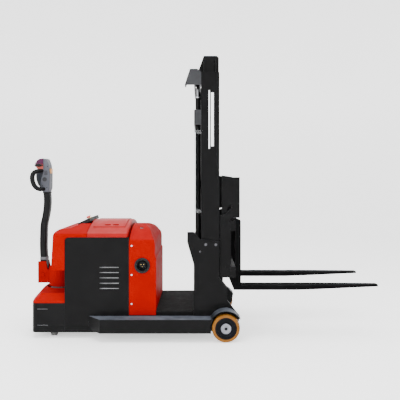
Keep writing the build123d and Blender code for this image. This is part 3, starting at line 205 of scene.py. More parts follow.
# Bluish grey for up-facing faces: a painted highlight, the reflection of a light sky on horizontal paint.
TOP_SKY_HIGHLIGHT = (0.085, 0.095, 0.115)
MATERIALS = {
    # The red covers take a paler red on their tops: a painted highlight.
    "red_shell": surface(
        "moulded_red", (0.20, 0.0, 0.0), (0.235, 0.0001, 0.0), (0.50, 0.64), blotch=3.0, grain=900.0,
        bump=0.05, specular=0.01, dust_and_highlight=((0.27, 0.011, 0.011), 0.6), soft_edge=0.003,
    ),
    # Black steel takes a faint painted sky highlight on its tops, and a painted edge highlight over its
    # edge wear.
    "black_steel": surface(
        "powder_coat_black", (0.0012, 0.0012, 0.0013), (0.0022, 0.0022, 0.0024), (0.36, 0.52), blotch=6.0,
        grain=1100.0, bump=0.25, depth=0.0004, dust_and_highlight=(TOP_SKY_HIGHLIGHT, 0.12), wear_and_edge_highlight=((0.05, 0.05, 0.054), 0.6),
        soft_edge=0.0015, specular=0.08,
    ),
    "deck_black": surface(
        "anti_slip_coating", (0.004, 0.004, 0.004), (0.008, 0.008, 0.008), (0.8, 0.95), blotch=40.0,
        grain=260.0, bump=0.8, depth=0.0012, wear_and_edge_highlight=((0.04, 0.04, 0.04), 0.4), specular=0.08,
    ),
    # Lighter grey copy of the black coat: a painted highlight for faces that catch the light, with a
    # painted sky highlight on its tops.
    "tie_grey": surface(
        "black_coat_painted_lit", (0.012, 0.0125, 0.014), (0.022, 0.0225, 0.025), (0.4, 0.55), grain=1000.0,
        bump=0.2, dust_and_highlight=(TOP_SKY_HIGHLIGHT, 0.3), wear_and_edge_highlight=((0.1, 0.1, 0.105), 0.6), specular=0.2,
    ),
    "hub_steel": surface(
        "turned_hub", (0.13, 0.13, 0.15), (0.20, 0.20, 0.225), (0.26, 0.38), metallic=1.0, blotch=30.0,
        grain=500.0, bump=0.08,
    ),
    "zinc_steel": surface(
        "zinc_plate", (0.48, 0.49, 0.52), (0.66, 0.66, 0.68), (0.28, 0.42), metallic=1.0, blotch=60.0,
        grain=900.0, bump=0.1,
    ),
    "roller_steel": surface(
        "hardened_steel", (0.22, 0.22, 0.23), (0.36, 0.36, 0.37), (0.22, 0.4), metallic=1.0, blotch=40.0,
        grain=500.0, bump=0.1,
    ),
    "chain_steel": surface(
        "oiled_chain", (0.03, 0.028, 0.026), (0.09, 0.085, 0.08), (0.3, 0.5), metallic=1.0, blotch=80.0,
        grain=800.0, bump=0.2,
    ),
    # Chrome darkened far below its own colour: a painted dark reflection on the rods.
    "chrome_rod": surface(
        "chrome_painted_dark", (0.075, 0.075, 0.08), (0.11, 0.11, 0.115), (0.08, 0.16), metallic=1.0, blotch=8.0,
        grain=900.0, bump=0.02, stretch=(1.0, 1.0, 0.1),
    ),
    "amber_tyre": surface(
        "amber_urethane", (0.125, 0.046, 0.005), (0.175, 0.068, 0.008), (0.30, 0.46), blotch=12.0,
        grain=500.0, bump=0.15, scuff=((0.09, 0.035, 0.006), 0.6), soft_edge=0.0, specular=0.12,
    ),
    "drive_tyre": surface(
        "dark_urethane", (0.03, 0.028, 0.026), (0.06, 0.055, 0.05), (0.45, 0.65), blotch=12.0, grain=500.0,
        bump=0.2, scuff=((0.15, 0.14, 0.13), 0.5), soft_edge=0.0,
    ),
    "caster_tyre": surface(
        "caster_rubber", (0.015, 0.015, 0.015), (0.035, 0.034, 0.033), (0.55, 0.75), blotch=20.0,
        grain=600.0, bump=0.25, scuff=((0.12, 0.12, 0.12), 0.5), soft_edge=0.0,
    ),
    "rim_black": surface(
        "painted_casting", (0.0016, 0.0016, 0.0022), (0.004, 0.004, 0.006), (0.4, 0.55), blotch=20.0,
        grain=350.0, bump=0.3, depth=0.0005, wear_and_edge_highlight=((0.03, 0.03, 0.035), 0.4), specular=0.06,
    ),
    "drive_cast": surface(
        "gear_housing", (0.03, 0.03, 0.034), (0.06, 0.06, 0.066), (0.42, 0.6), blotch=14.0, grain=300.0,
        bump=0.45, depth=0.0006, wear_and_edge_highlight=((0.2, 0.2, 0.2), 0.5),
    ),
    "arm_black": surface(
        "arm_coating", (0.0014, 0.0014, 0.0016), (0.0028, 0.0028, 0.0031), (0.42, 0.56), blotch=8.0,
        grain=900.0, bump=0.2, wear_and_edge_highlight=((0.04, 0.04, 0.045), 0.5), specular=0.1,
    ),
    "head_grey": surface(
        "head_moulding", (0.040, 0.042, 0.052), (0.060, 0.062, 0.076), (0.42, 0.56), blotch=10.0,
        grain=1300.0, bump=0.35, depth=0.0003, wear_and_edge_highlight=((0.15, 0.15, 0.17), 0.35), soft_edge=0.002,
        specular=0.25,
    ),
    "cap_red": surface(
        "cap_moulding", (0.34, 0.060, 0.045), (0.44, 0.085, 0.060), (0.32, 0.44), blotch=10.0, grain=1200.0,
        bump=0.15, soft_edge=0.002, specular=0.15, band=("Z", 1.334, 1.350, (0.045, 0.003, 0.026)),
    ),
    "belly_dark": surface(
        "belly_moulding", (0.06, 0.008, 0.04), (0.10, 0.014, 0.06), (0.22, 0.34), blotch=20.0, grain=1200.0,
        bump=0.15, coat=0.2, soft_edge=0.002,
    ),
    "grip_black": surface(
        "soft_grip", (0.0016, 0.0016, 0.0018), (0.0034, 0.0034, 0.0038), (0.50, 0.66), blotch=20.0,
        grain=1600.0, bump=0.5, depth=0.0004, soft_edge=0.001, specular=0.12,
    ),
    "rocker_orange": surface(
        "rocker_moulding", (0.36, 0.15, 0.03), (0.45, 0.20, 0.045), (0.4, 0.52), blotch=20.0, grain=1300.0,
        bump=0.2, soft_edge=0.001,
    ),
    "estop_red": surface(
        "stop_button", (0.48, 0.008, 0.008), (0.60, 0.014, 0.012), (0.22, 0.32), blotch=30.0, grain=1200.0,
        bump=0.08, coat=0.25, soft_edge=0.0,
    ),
    "console_black": surface(
        "console_moulding", (0.006, 0.006, 0.007), (0.011, 0.011, 0.012), (0.5, 0.66), blotch=12.0,
        grain=1300.0, bump=0.3, depth=0.0003, wear_and_edge_highlight=((0.05, 0.05, 0.055), 0.3), specular=0.12,
    ),
    "battery_grey": surface(
        "battery_case", (0.03, 0.031, 0.036), (0.055, 0.056, 0.062), (0.48, 0.65), blotch=9.0, grain=900.0,
        bump=0.3, dust_and_highlight=((0.12, 0.12, 0.12), 0.5), wear_and_edge_highlight=((0.16, 0.16, 0.17), 0.4),
    ),
    "clear_guard": surface(
        "clear_sheet", (0.86, 0.90, 0.92), (0.92, 0.95, 0.97), (0.02, 0.05), blotch=6.0, grain=40.0,
        bump=0.0, transmission=1.0, soft_edge=0.0, specular=0.25,
    ),
}
EXTRA = {
    # Pale metallic grey for the skirt slot strips: a painted highlight.
    "louvre": surface(
        "louvre_plate", (0.15, 0.155, 0.165), (0.30, 0.31, 0.33), (0.34, 0.5), metallic=0.35, blotch=30.0,
        grain=900.0, bump=0.1, soft_edge=0.0,
    ),
    # Pale grey strips on the louvre lips: a painted highlight where light catches each louvre, fading to
    # dark grey towards the rear end.
    "louvre_lip": surface(
        "louvre_lip", (0.20, 0.205, 0.21), (0.34, 0.35, 0.36), (0.34, 0.5), metallic=0.2, blotch=30.0,
        grain=900.0, bump=0.1, soft_edge=0.0, band=("X", -0.735, -0.778, (0.05, 0.051, 0.055)),
    ),
    "bolt": surface(
        "blackened_bolt", (0.055, 0.055, 0.06), (0.11, 0.11, 0.12), (0.28, 0.42), metallic=1.0, blotch=80.0,
        grain=900.0, bump=0.1,
    ),
    "guard": surface(
        "guard_moulding", (0.0030, 0.0042, 0.0075), (0.0055, 0.0075, 0.0125), (0.36, 0.5), blotch=20.0,
        grain=1300.0, bump=0.3, depth=0.0003, soft_edge=0.002, specular=0.25,
    ),
    "stripe": surface(
        "pale_vinyl", (0.74, 0.75, 0.76), (0.84, 0.85, 0.86), (0.34, 0.46), blotch=25.0, grain=900.0,
        bump=0.08, soft_edge=0.0,
    ),
    "yellow": surface(
        "yellow_plate", (0.72, 0.46, 0.02), (0.82, 0.55, 0.04), (0.4, 0.55), blotch=25.0, grain=900.0,
        bump=0.1, soft_edge=0.0,
    ),
    "screen": surface(
        "display_window", (0.004, 0.006, 0.014), (0.008, 0.012, 0.024), (0.2, 0.3), blotch=20.0,
        grain=900.0, bump=0.02, soft_edge=0.0, specular=0.12,
    ),
    "gauge": surface(
        "gauge_bars", (0.10, 0.42, 0.12), (0.18, 0.58, 0.18), (0.3, 0.42), blotch=60.0, grain=900.0,
        bump=0.05, soft_edge=0.0,
    ),
    "brass": surface(
        "brass_pins", (0.50, 0.34, 0.12), (0.66, 0.46, 0.18), (0.22, 0.36), metallic=1.0, blotch=60.0,
        grain=900.0, bump=0.08, soft_edge=0.0,
    ),
}

# Ledges near the floor take a strong painted sky highlight on their tops, and edge wear with a painted edge
# highlight; the rest of the frame takes only a faint top highlight.
ledge_highlight_coat = surface(
    "powder_coat_ledges", (0.0012, 0.0012, 0.0013), (0.0022, 0.0022, 0.0024), (0.36, 0.52), blotch=6.0,
    grain=1100.0, bump=0.25, depth=0.0004, dust_and_highlight=(TOP_SKY_HIGHLIGHT, 0.95), wear_and_edge_highlight=((0.05, 0.05, 0.054), 0.6),
    soft_edge=0.0015, specular=0.08,
)
fork_coat = surface(
    "powder_coat_forks", (0.0014, 0.0014, 0.0015), (0.0026, 0.0026, 0.0028), (0.80, 0.95), blotch=6.0,
    grain=900.0, bump=0.25, depth=0.0004, wear_and_edge_highlight=((0.05, 0.05, 0.052), 0.6), soft_edge=0.0015, specular=0.03,
    scuff=((0.012, 0.012, 0.012), 0.6),
)
# The lid's moulding is glossier than the covers around it, and its tops take a paler red painted highlight.
lid_coat = surface(
    "moulded_red_gloss", (0.20, 0.0, 0.0), (0.235, 0.0001, 0.0), (0.40, 0.54), blotch=3.0, grain=900.0,
    bump=0.05, specular=0.12, dust_and_highlight=((0.30, 0.030, 0.030), 0.7), soft_edge=0.003,
)
SPECIAL_COATS = {
    "legs": ledge_highlight_coat, "fenders": ledge_highlight_coat, "fork_near": fork_coat, "fork_far": fork_coat,
    "battery_lid": lid_coat,
}

for row in frame["record"]["subparts"]:
    node = frame["nodes"][row["node"]]
    node.data.materials.clear()
    node.data.materials.append(SPECIAL_COATS.get(row["node"], MATERIALS[row["material_slot"]]))

# ---------------------------------------------------------------- mesh helpers


def merge(target, source, place=None):
    """Adds one bmesh to another, moved by a matrix, and frees it."""
    if place is not None:
        source.transform(place)
    carrier = bpy.data.meshes.new("carrier")
    source.to_mesh(carrier)
    source.free()
    target.from_mesh(carrier)
    bpy.data.meshes.remove(carrier)


def piece(name, shape, look, body, sharp=32.0):
    """A finished object from a bmesh: shaded, given its material, and riding on its body."""
    bmesh.ops.remove_doubles(shape, verts=shape.verts[:], dist=1e-6)
    bmesh.ops.recalc_face_normals(shape, faces=shape.faces[:])
    mesh = bpy.data.meshes.new(name)
    shape.to_mesh(mesh)
    shape.free()
    mesh.polygons.foreach_set("use_smooth", [True] * len(mesh.polygons))
    mesh.set_sharp_from_angle(angle=math.radians(sharp))
    mesh.materials.append(look)
    made = bpy.data.objects.new(name, mesh)
    bpy.context.collection.objects.link(made)
    if body:
        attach(made, body)
    return made


def slotted(name, shape, slot, body, sharp=32.0):
    """A piece that takes both its material and its finish from a slot of the record."""
    return piece(name, shape, MATERIALS[slot], body, sharp)


def rounded(low, high, radius, steps=3):
    """Block between two corners with every edge rounded."""
    shape = bmesh.new()
    bmesh.ops.create_cube(shape, size=1.0)
    low, high = Vector(low), Vector(high)
    middle, size = (low + high) / 2, high - low
    for vert in shape.verts:
        vert.co = Vector(middle[i] + vert.co[i] * size[i] for i in range(3))
    bmesh.ops.bevel(
        shape, geom=shape.edges[:], offset=radius, segments=steps, profile=0.5, affect="EDGES",
    )
    return shape


def turned(profile, steps=48, turn=0.0):
    """Solid of revolution about Z from (radius, height) points."""
    shape = bmesh.new()
    rings = []
    for radius, height in profile:
        count = 1 if radius < 1e-7 else steps
        rings.append([
            shape.verts.new((
                radius * math.cos(turn + math.tau * i / steps),
                radius * math.sin(turn + math.tau * i / steps), height,
            ))
            for i in range(count)
        ])
    for lower, upper in zip(rings, rings[1:]):
        for i in range(steps):
            j = (i + 1) % steps
            corners = [
                lower[i % len(lower)], lower[j % len(lower)], upper[j % len(upper)], upper[i % len(upper)],
            ]
            corners = list(dict.fromkeys(corners))
            if len(corners) > 2:
                shape.faces.new(corners)
    return shape


def aim(where, axis):
    """Matrix that puts local Z along an axis, at a point."""
    turn = Vector((0.0, 0.0, 1.0)).rotation_difference(Vector(axis)).to_matrix().to_4x4()
    return Matrix.Translation(Vector(where)) @ turn


def along_y(x, y, z, side):
    """Matrix for a turned piece that points outwards on one side of the truck."""
    return aim((x, y, z), (0.0, side, 0.0))


def strip(section, x_low, x_high, thickness, steps):
    """Sheet bent along a (y, z) section, extruded along X, with real thickness."""
    shape = bmesh.new()
    rows = []
    for i in range(steps + 1):
        x = x_low + (x_high - x_low) * i / steps
        rows.append([shape.verts.new((x, y, z)) for y, z in section])
    for first, second in zip(rows, rows[1:]):
        for k in range(len(section) - 1):
            shape.faces.new((first[k], first[k + 1], second[k + 1], second[k]))
    bmesh.ops.recalc_face_normals(shape, faces=shape.faces[:])
    bmesh.ops.solidify(shape, geom=shape.faces[:], thickness=thickness)
    return shape


def prism(outline, y_first, y_second):
    """Closed (x, z) outline between two depths."""
    shape = bmesh.new()
    first = [shape.verts.new((x, y_first, z)) for x, z in outline]
    second = [shape.verts.new((x, y_second, z)) for x, z in outline]
    shape.faces.new(first)
    shape.faces.new(second[::-1])
    for k in range(len(outline)):
        m = (k + 1) % len(outline)
        shape.faces.new((first[k], second[k], second[m], first[m]))
    return shape


# ---------------------------------------------------------------- load wheels
TYRE_SHOULDER, TYRE_CROWN, TYRE_LIP, TYRE_CHAMFER = 0.012, 0.009, 0.004, 0.001
CROWN_STEPS, SOCKET_DEEP = 12, 0.0052
for name, side in SIDES.items():
    tyre_low, tyre_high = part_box(f"load_tyre_{name}")
    rim_low, rim_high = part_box(f"load_rim_{name}")
    centre = (tyre_low + tyre_high) / 2
    outer = (tyre_high.z - tyre_low.z) / 2
    inner = (rim_high.z - rim_low.z) / 2
    half = (tyre_high.y - tyre_low.y) / 2
    profile = [(inner, -half + TYRE_CHAMFER), (inner + TYRE_LIP, -half), (outer - TYRE_SHOULDER, -half)]
    for i in range(1, CROWN_STEPS):
        across = -math.cos(math.pi * i / CROWN_STEPS)
        crown = outer - TYRE_CROWN * abs(across) ** 7
        profile.append((crown, half * math.copysign(min(abs(across) * 1.02, 0.995), across)))
    profile += [(outer - TYRE_SHOULDER, half), (inner + TYRE_LIP, half), (inner, half - TYRE_CHAMFER)]
    profile.append(profile[0])
    tyre = turned(profile, 96)
    tyre.transform(aim(centre, (0.0, 1.0, 0.0)))
    tyre_piece = slotted(f"tread_{name}", tyre, "amber_tyre", f"load_wheel_{name}", 50.0)
    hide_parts(f"load_tyre_{name}")

    # Dark plug with a round socket, let into the end of the axle.
    axle_low, axle_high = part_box("load_axles")
    cap_y = axle_low.y if side < 0 else axle_high.y
    bolt = turned([
        (0.0, 0.0), (0.0045, 0.0), (0.0045, 0.003), (0.0098, 0.003), (0.0111, 0.002), (0.0111, -0.003),
        (0.0, -0.003),
    ], 36)
    bolt.transform(along_y(centre.x, cap_y - side * SOCKET_DEEP, centre.z, side))
    slotted(f"axle_bolt_{name}", bolt, "rim_black", "chassis")

# ---------------------------------------------------------------- side panel louvres
BODY_SIDE = 0.325
LOUVRE_Z = (0.381, 0.421, 0.462, 0.503, 0.543)
LOUVRE_X, LOUVRE_HALF = -0.697, 0.078
VANE_SIDE, VANE_DEEP, VANE_HIGH, VANE_THICK = BODY_SIDE - 0.0077, 0.0085, 0.016, 0.0012
for name, side in SIDES.items():
    vanes = bmesh.new()
    lip_highlights = bmesh.new()
    lip_y = sorted((side * (BODY_SIDE - 0.0074), side * (BODY_SIDE - 0.0044)))
    for height in LOUVRE_Z:
        section = []
        for i in range(9):
            turn = math.radians(90.0 * i / 8)
            section.append((
                side * (VANE_SIDE - VANE_DEEP * (1.0 - math.cos(turn))),
                height - 0.0075 + VANE_HIGH * math.sin(turn),
            ))
        merge(vanes, strip(section, LOUVRE_X - LOUVRE_HALF, LOUVRE_X + LOUVRE_HALF, VANE_THICK, 12))
        # Each pale lip strip is a painted highlight along the top of a louvre.
        merge(lip_highlights, rounded(
            (LOUVRE_X - LOUVRE_HALF, lip_y[0], height - 0.0016),
            (LOUVRE_X + LOUVRE_HALF, lip_y[1], height + 0.0024), 0.0012, 2,
        ))
    slotted(f"louvre_vanes_{name}", vanes, "black_steel", "chassis")
    piece(f"louvre_lips_{name}", lip_highlights, EXTRA["louvre_lip"], "chassis")

# A thin pale strip in each of the two slots of the skirt: a painted highlight along the slot's edge.
SKIRT_SLOT_X, SKIRT_SLOT_Z = (-1.250, -1.168), (0.100, 0.224)
for name, side in SIDES.items():
    slot_highlights = bmesh.new()
    edge_y = sorted((side * (BODY_SIDE - 0.0064), side * (BODY_SIDE - 0.0046)))
    for height in SKIRT_SLOT_Z:
        merge(slot_highlights, rounded(
            (SKIRT_SLOT_X[0], edge_y[0], height - 0.0022), (SKIRT_SLOT_X[1], edge_y[1], height + 0.0006),
            0.0006, 2,
        ))
    piece(f"skirt_slot_highlights_{name}", slot_highlights, EXTRA["louvre"], "chassis")

# Red returns of the rear cover that fill the round corners of the side panels.
CORNER_X, CORNER_Z, CORNER_R, CORNER_LAP = -1.038, 0.773, 0.0274, 0.0006
outline = [(CORNER_X - CORNER_LAP, CORNER_Z + CORNER_LAP), (CORNER_X - CORNER_LAP, CORNER_Z - CORNER_R)]
for i in range(13):
    turn = math.pi / 2 * i / 12
    outline.append((
        CORNER_X + CORNER_R * (1.0 - math.cos(turn)), CORNER_Z - CORNER_R * (1.0 - math.sin(turn)),
    ))
outline.append((CORNER_X + CORNER_R, CORNER_Z + CORNER_LAP))
for name, side in SIDES.items():
    corner = prism(outline, side * (BODY_SIDE - 0.0006), side * (BODY_SIDE - 0.0060))
    slotted(f"corner_return_{name}", corner, "red_shell", "chassis")

# ---------------------------------------------------------------- screws and bolts


def hex_bolt(target, x, z, side, across, start, height):
    """Washer, chamfered hexagon head and a centre mark, standing on a side face."""
    place = along_y(x, side * start, z, side)
    washer = across * 0.72
    merge(target, turned([
        (0.0, 0.0), (washer, 0.0), (washer, 0.0012), (washer - 0.0006, 0.0018), (0.0, 0.0018),
    ], 40), place)
    corner = across / math.sqrt(3.0)
    merge(target, turned([
        (0.0, 0.0018), (corner, 0.0018), (corner, height - 0.0016), (corner * 0.86, height - 0.0002),
        (corner * 0.5, height - 0.0002), (corner * 0.44, height - 0.0009), (0.0, height - 0.0009),
    ], 6, math.radians(30.0)), place)


def button_screw(target, x, z, side, radius, start, height):
    """Domed screw head with a round socket."""
    place = along_y(x, side * start, z, side)
    merge(target, turned([
        (0.0, height * 0.35), (radius * 0.38, height * 0.35), (radius * 0.42, height * 0.98),
        (radius * 0.7, height * 0.86), (radius * 0.93, height * 0.5), (radius, height * 0.12),
        (radius, 0.0), (0.0, 0.0),
    ], 36), place)


screws, bolts = bmesh.new(), bmesh.new()
for side in SIDES.values():
    for x in (0.044, 0.121):
        hex_bolt(bolts, x, 0.718, side, 0.0150, BODY_SIDE, 0.0075)
    hex_bolt(bolts, 0.0, 0.665, side, 0.0100, BODY_SIDE, 0.0055)
    for z in (0.263, 0.486, 0.709):
        button_screw(screws, -0.524, z, side, 0.007, BODY_SIDE, 0.003)
piece("gusset_bolts", bolts, EXTRA["bolt"], "chassis")
heads = slotted("screw_heads", screws, "zinc_steel", "chassis")
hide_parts("fasteners")

# ---------------------------------------------------------------- charge port
port_low, port_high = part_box("charge_port")
port = (port_low + port_high) / 2
pins = bmesh.new()
for x, z, radius in ((-0.010, 0.006, 0.0042), (0.010, 0.006, 0.0042), (0.0, -0.011, 0.0030)):
    merge(pins, turned([
        (0.0, -0.004), (radius, -0.004), (radius, 0.013), (radius * 0.6, 0.015), (0.0, 0.0152),
    ], 24), along_y(port.x + x, -0.300, port.z + z, -1.0))
piece("charge_pins", pins, EXTRA["brass"], "chassis")
lip = turned([
    (0.0432, 0.0002), (0.0450, 0.0016), (0.0500, 0.0020), (0.0548, 0.0012), (0.0560, 0.0),
    (0.0550, -0.0012), (0.0440, -0.0012), (0.0432, 0.0002),
], 72)
lip.transform(along_y(port.x, port_low.y + 0.0018, port.z, -1.0))
slotted("charge_lip", lip, "grip_black", "chassis")

# ---------------------------------------------------------------- console
# Panel directions: u up the slope, v across the truck, w out of the face.
CONSOLE_RUN, CONSOLE_RISE, CONSOLE_SPOT = 0.107, 0.050, (-0.936, 0.0, 0.887)
slope = Vector((CONSOLE_RUN, 0.0, CONSOLE_RISE)).normalized()
normal = Vector((-CONSOLE_RISE, 0.0, CONSOLE_RUN)).normalized()
turned_to_face = Matrix((slope, normal.cross(slope), normal)).transposed().to_4x4()
console = Matrix.Translation(CONSOLE_SPOT) @ turned_to_face


def on_panel(u, v, w=0.0):
    """Matrix for a turned piece that stands on the console."""
    return console @ Matrix.Translation((u, v, w))


window = bmesh.new()
merge(window, rounded((-0.0240, -0.0360, -0.0028), (0.0320, 0.0360, -0.0008), 0.0008), console)
piece("display_window", window, EXTRA["screen"], "chassis")

BAR_COUNT, BAR_PITCH, BAR_WIDE = 10, 0.0055, 0.0040
bars = bmesh.new()
for i in range(BAR_COUNT):
    left = -0.027 + i * BAR_PITCH
    merge(bars, rounded((0.012, left, -0.0010), (0.023, left + BAR_WIDE, -0.0003), 0.0003, 2), console)
piece("gauge_bars", bars, EXTRA["gauge"], "chassis")

BUTTON_COUNT, BUTTON_PITCH = 4, 0.016
buttons = bmesh.new()
for i in range(BUTTON_COUNT):
    merge(buttons, turned([
        (0.0, -0.0012), (0.0042, -0.0012), (0.0042, 0.0), (0.0036, 0.0007), (0.0, 0.0009),
    ], 28), on_panel(-0.014, (i - (BUTTON_COUNT - 1) / 2) * BUTTON_PITCH))
slotted("panel_buttons", buttons, "battery_grey", "chassis")

corner_screws = bmesh.new()
for u in (-0.045, 0.045):
    for v in (-0.148, 0.148):
        merge(corner_screws, turned([
            (0.0, 0.0003), (0.0014, 0.0003), (0.0016, 0.0014), (0.0030, 0.0010), (0.0034, 0.0),
            (0.0, -0.0005),
        ], 24), on_panel(u, v))
slotted("panel_screws", corner_screws, "zinc_steel", "chassis")

STOP_UV, KEY_UV = (0.028, -0.068), (-0.012, 0.070)
collar = turned([
    (0.0100, 0.0), (0.0100, 0.0022), (0.0104, 0.0026), (0.0235, 0.0026), (0.0242, 0.0018), (0.0242, 0.0),
    (0.0100, 0.0),
], 64)
collar.transform(on_panel(*STOP_UV, 0.0002))
piece("stop_collar", collar, EXTRA["yellow"], "chassis")
mushroom = turned([
    (0.0, -0.014), (0.0088, -0.014), (0.0090, -0.0135), (0.0090, 0.0080), (0.0150, 0.0080),
    (0.0176, 0.0088), (0.0188, 0.0110), (0.0190, 0.0145), (0.0180, 0.0176), (0.0156, 0.0192),
    (0.0120, 0.0198), (0.0100, 0.0194), (0.0060, 0.0188), (0.0, 0.0186),
], 64)
mushroom.transform(on_panel(*STOP_UV))
cap = slotted("stop_button", mushroom, "estop_red", "estop", 60.0)
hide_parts("estop_button")
bow = rounded((-0.0125, -0.0026, 0.0105), (0.0125, 0.0026, 0.0245), 0.0022, 4)
bow.transform(on_panel(*KEY_UV))
slotted("key_bow", bow, "grip_black", "key_switch", 50.0)

# ---------------------------------------------------------------- tiller head
HEAD_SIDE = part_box("tiller_head")[1].y
RIB_X, RIB_Z, RIB_PITCH, RIB_HIGH = (-1.290, -1.262), 1.256, 0.0075, 0.0034
for name, side in SIDES.items():
    disc = turned([
        (0.0, 0.0013), (0.0150, 0.0014), (0.0162, 0.0020), (0.0184, 0.0018), (0.0190, 0.0006),
        (0.0190, -0.0004), (0.0, -0.0004),
    ], 56)
    disc.transform(along_y(-1.286, side * HEAD_SIDE, 1.218, side))
    slotted(f"head_disc_{name}", disc, "tie_grey", "tiller", 40.0)
    studs = bmesh.new()
    for x, z in ((-1.268, 1.150), (-1.262, 1.325), (-1.306, 1.165)):
        merge(studs, turned([
            (0.0, 0.0002), (0.0016, 0.0002), (0.0018, 0.0012), (0.0032, 0.0010), (0.0040, 0.0),
            (0.0, -0.0004),
        ], 28), along_y(x, side * HEAD_SIDE, z, side))
    slotted(f"head_screws_{name}", studs, "grip_black", "tiller")
    ribs = bmesh.new()
    rib_y = sorted((side * 0.0446, side * 0.0462))
    for i in range(5):
        z = RIB_Z + i * RIB_PITCH
        merge(ribs, rounded((RIB_X[0], rib_y[0], z), (RIB_X[1], rib_y[1], z + RIB_HIGH), 0.0006, 2))
    slotted(f"head_ribs_{name}", ribs, "grip_black", "tiller")

# Dark guard behind the head, a crescent that wraps its back edge.
crescent = [
    (-1.300, 1.300), (-1.326, 1.302), (-1.348, 1.296), (-1.3560, 1.272), (-1.3570, 1.240), (-1.3530, 1.208),
    (-1.342, 1.176), (-1.322, 1.148), (-1.322, 1.186), (-1.316, 1.214), (-1.307, 1.242), (-1.298, 1.268),
]
guard = prism(crescent, -HEAD_SIDE - 0.0012, HEAD_SIDE + 0.0012)
bmesh.ops.bevel(guard, geom=guard.edges[:], offset=0.0022, segments=3, profile=0.5, affect="EDGES")
piece("head_guard", guard, EXTRA["guard"], "tiller", sharp=40.0)


def spline(points, steps):
    """Smooth curve through points, with its two ends repeated as guides."""
    ends = [points[0] * 2 - points[1], *points, points[-1] * 2 - points[-2]]
    curve = []
    for p0, p1, p2, p3 in zip(ends, ends[1:], ends[2:], ends[3:]):
        for i in range(steps):
            t = i / steps
            curve.append(0.5 * (
                2 * p1 + (p2 - p0) * t + (2 * p0 - 5 * p1 + 4 * p2 - p3) * t**2
                + (3 * p1 - p0 - 3 * p2 + p3) * t**3
            ))
    curve.append(points[-1])
    return curve


def tube(curve, radii, around=28):
    """Round tube along a curve, with a radius for each point and closed ends."""
    shape = bmesh.new()
    across, rings = Vector((0.0, 0.0, 1.0)), []
    for k, (spot, radius) in enumerate(zip(curve, radii)):
        ahead = (curve[min(k + 1, len(curve) - 1)] - curve[max(k - 1, 0)]).normalized()
        across = (across - ahead * across.dot(ahead)).normalized()
        beside = ahead.cross(across)
        rings.append([
            shape.verts.new(spot + radius * (
                math.cos(math.tau * i / around) * across + math.sin(math.tau * i / around) * beside
            ))
            for i in range(around)
        ])
    for first, second in zip(rings, rings[1:]):
        for i in range(around):
            j = (i + 1) % around
            shape.faces.new((first[i], first[j], second[j], second[i]))
    shape.faces.new(rings[0][::-1])
    shape.faces.new(rings[-1])
    return shape


# Moulded grips: fuller in the hand than where they join the head.
GRIP_THIN, GRIP_FULL = 0.0150, 0.0188
grips = bmesh.new()
for side in SIDES.values():
    route = spline([
        Vector((x, side * y, z)) for x, y, z in (
            (-1.292, 0.040, 1.138), (-1.316, 0.082, 1.137), (-1.343, 0.104, 1.158), (-1.361, 0.108, 1.198),
            (-1.3655, 0.108, 1.240), (-1.354, 0.100, 1.272), (-1.330, 0.076, 1.287), (-1.306, 0.040, 1.289),
        )
    ], 8)
    swell = [
        GRIP_THIN + (GRIP_FULL - GRIP_THIN) * math.sin(math.pi * k / (len(route) - 1))
        for k in range(len(route))
    ]
    merge(grips, tube(route, swell))
loops = slotted("moulded_grips", grips, "grip_black", "tiller", 60.0)
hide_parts("grip_loops")

# Collar where the arm meets its foot, and a seam band under the head.
for name, height, tall, grow, look in (
    ("arm_collar", 0.545, 0.030, 0.0024, "battery_grey"), ("head_band", 1.100, 0.014, 0.0030, "grip_black"),
):
    cut = bmesh.new()
    cut.from_mesh(frame["nodes"]["tiller_arm"].data)
    kept = bmesh.ops.bisect_plane(
        cut, geom=cut.verts[:] + cut.edges[:] + cut.faces[:],
        plane_co=(0.0, 0.0, height), plane_no=(0.0, 0.0, 1.0),
    )
    ring = [g.co.copy() for g in kept["geom_cut"] if isinstance(g, bmesh.types.BMVert)]
    cut.free()
    x_low, x_high = min(p.x for p in ring), max(p.x for p in ring)
    y_high = max(p.y for p in ring)
    band = rounded(
        (x_low - grow, -y_high - grow, height), (x_high + grow, y_high + grow, height + tall), 0.006, 4,
    )
    slotted(name, band, look, "tiller", 50.0)

# ---------------------------------------------------------------- battery top, seen under the open lid
battery_low, battery_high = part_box("battery")
case_top = battery_high.z - 0.022
CELL_PITCH, CELL_GRID, CELL_SIZE = (0.067, 0.0945), (4, 6), (0.061, 0.0875)
EYE_X, EYE_Y, EYE_REACH = (-0.738, -0.690), 0.220, 0.07
cells = bmesh.new()
caps = bmesh.new()
for i in range(CELL_GRID[0]):
    for k in range(CELL_GRID[1]):
        x = battery_low.x + 0.018 + i * CELL_PITCH[0]
        y = battery_low.y + 0.020 + k * CELL_PITCH[1]
        # Cells that would stand in the way of a lifting eye are left out.
        if abs(abs(y + 0.044) - EYE_Y) < EYE_REACH and EYE_X[0] < x + 0.031 < EYE_X[1]:
            continue
        merge(cells, rounded(
            (x, y, case_top - 0.001), (x + CELL_SIZE[0], y + CELL_SIZE[1], case_top + 0.007), 0.003,
        ))
        merge(caps, turned([
            (0.0, 0.006), (0.0095, 0.006), (0.0105, 0.011), (0.0098, 0.014), (0.0060, 0.0150),
            (0.0050, 0.0135), (0.0, 0.0132),
        ], 32), Matrix.Translation((x + CELL_SIZE[0] / 2, y + 0.044, case_top)))
slotted("battery_cells", cells, "battery_grey", "chassis")
piece("cell_caps", caps, EXTRA["yellow"], "chassis")

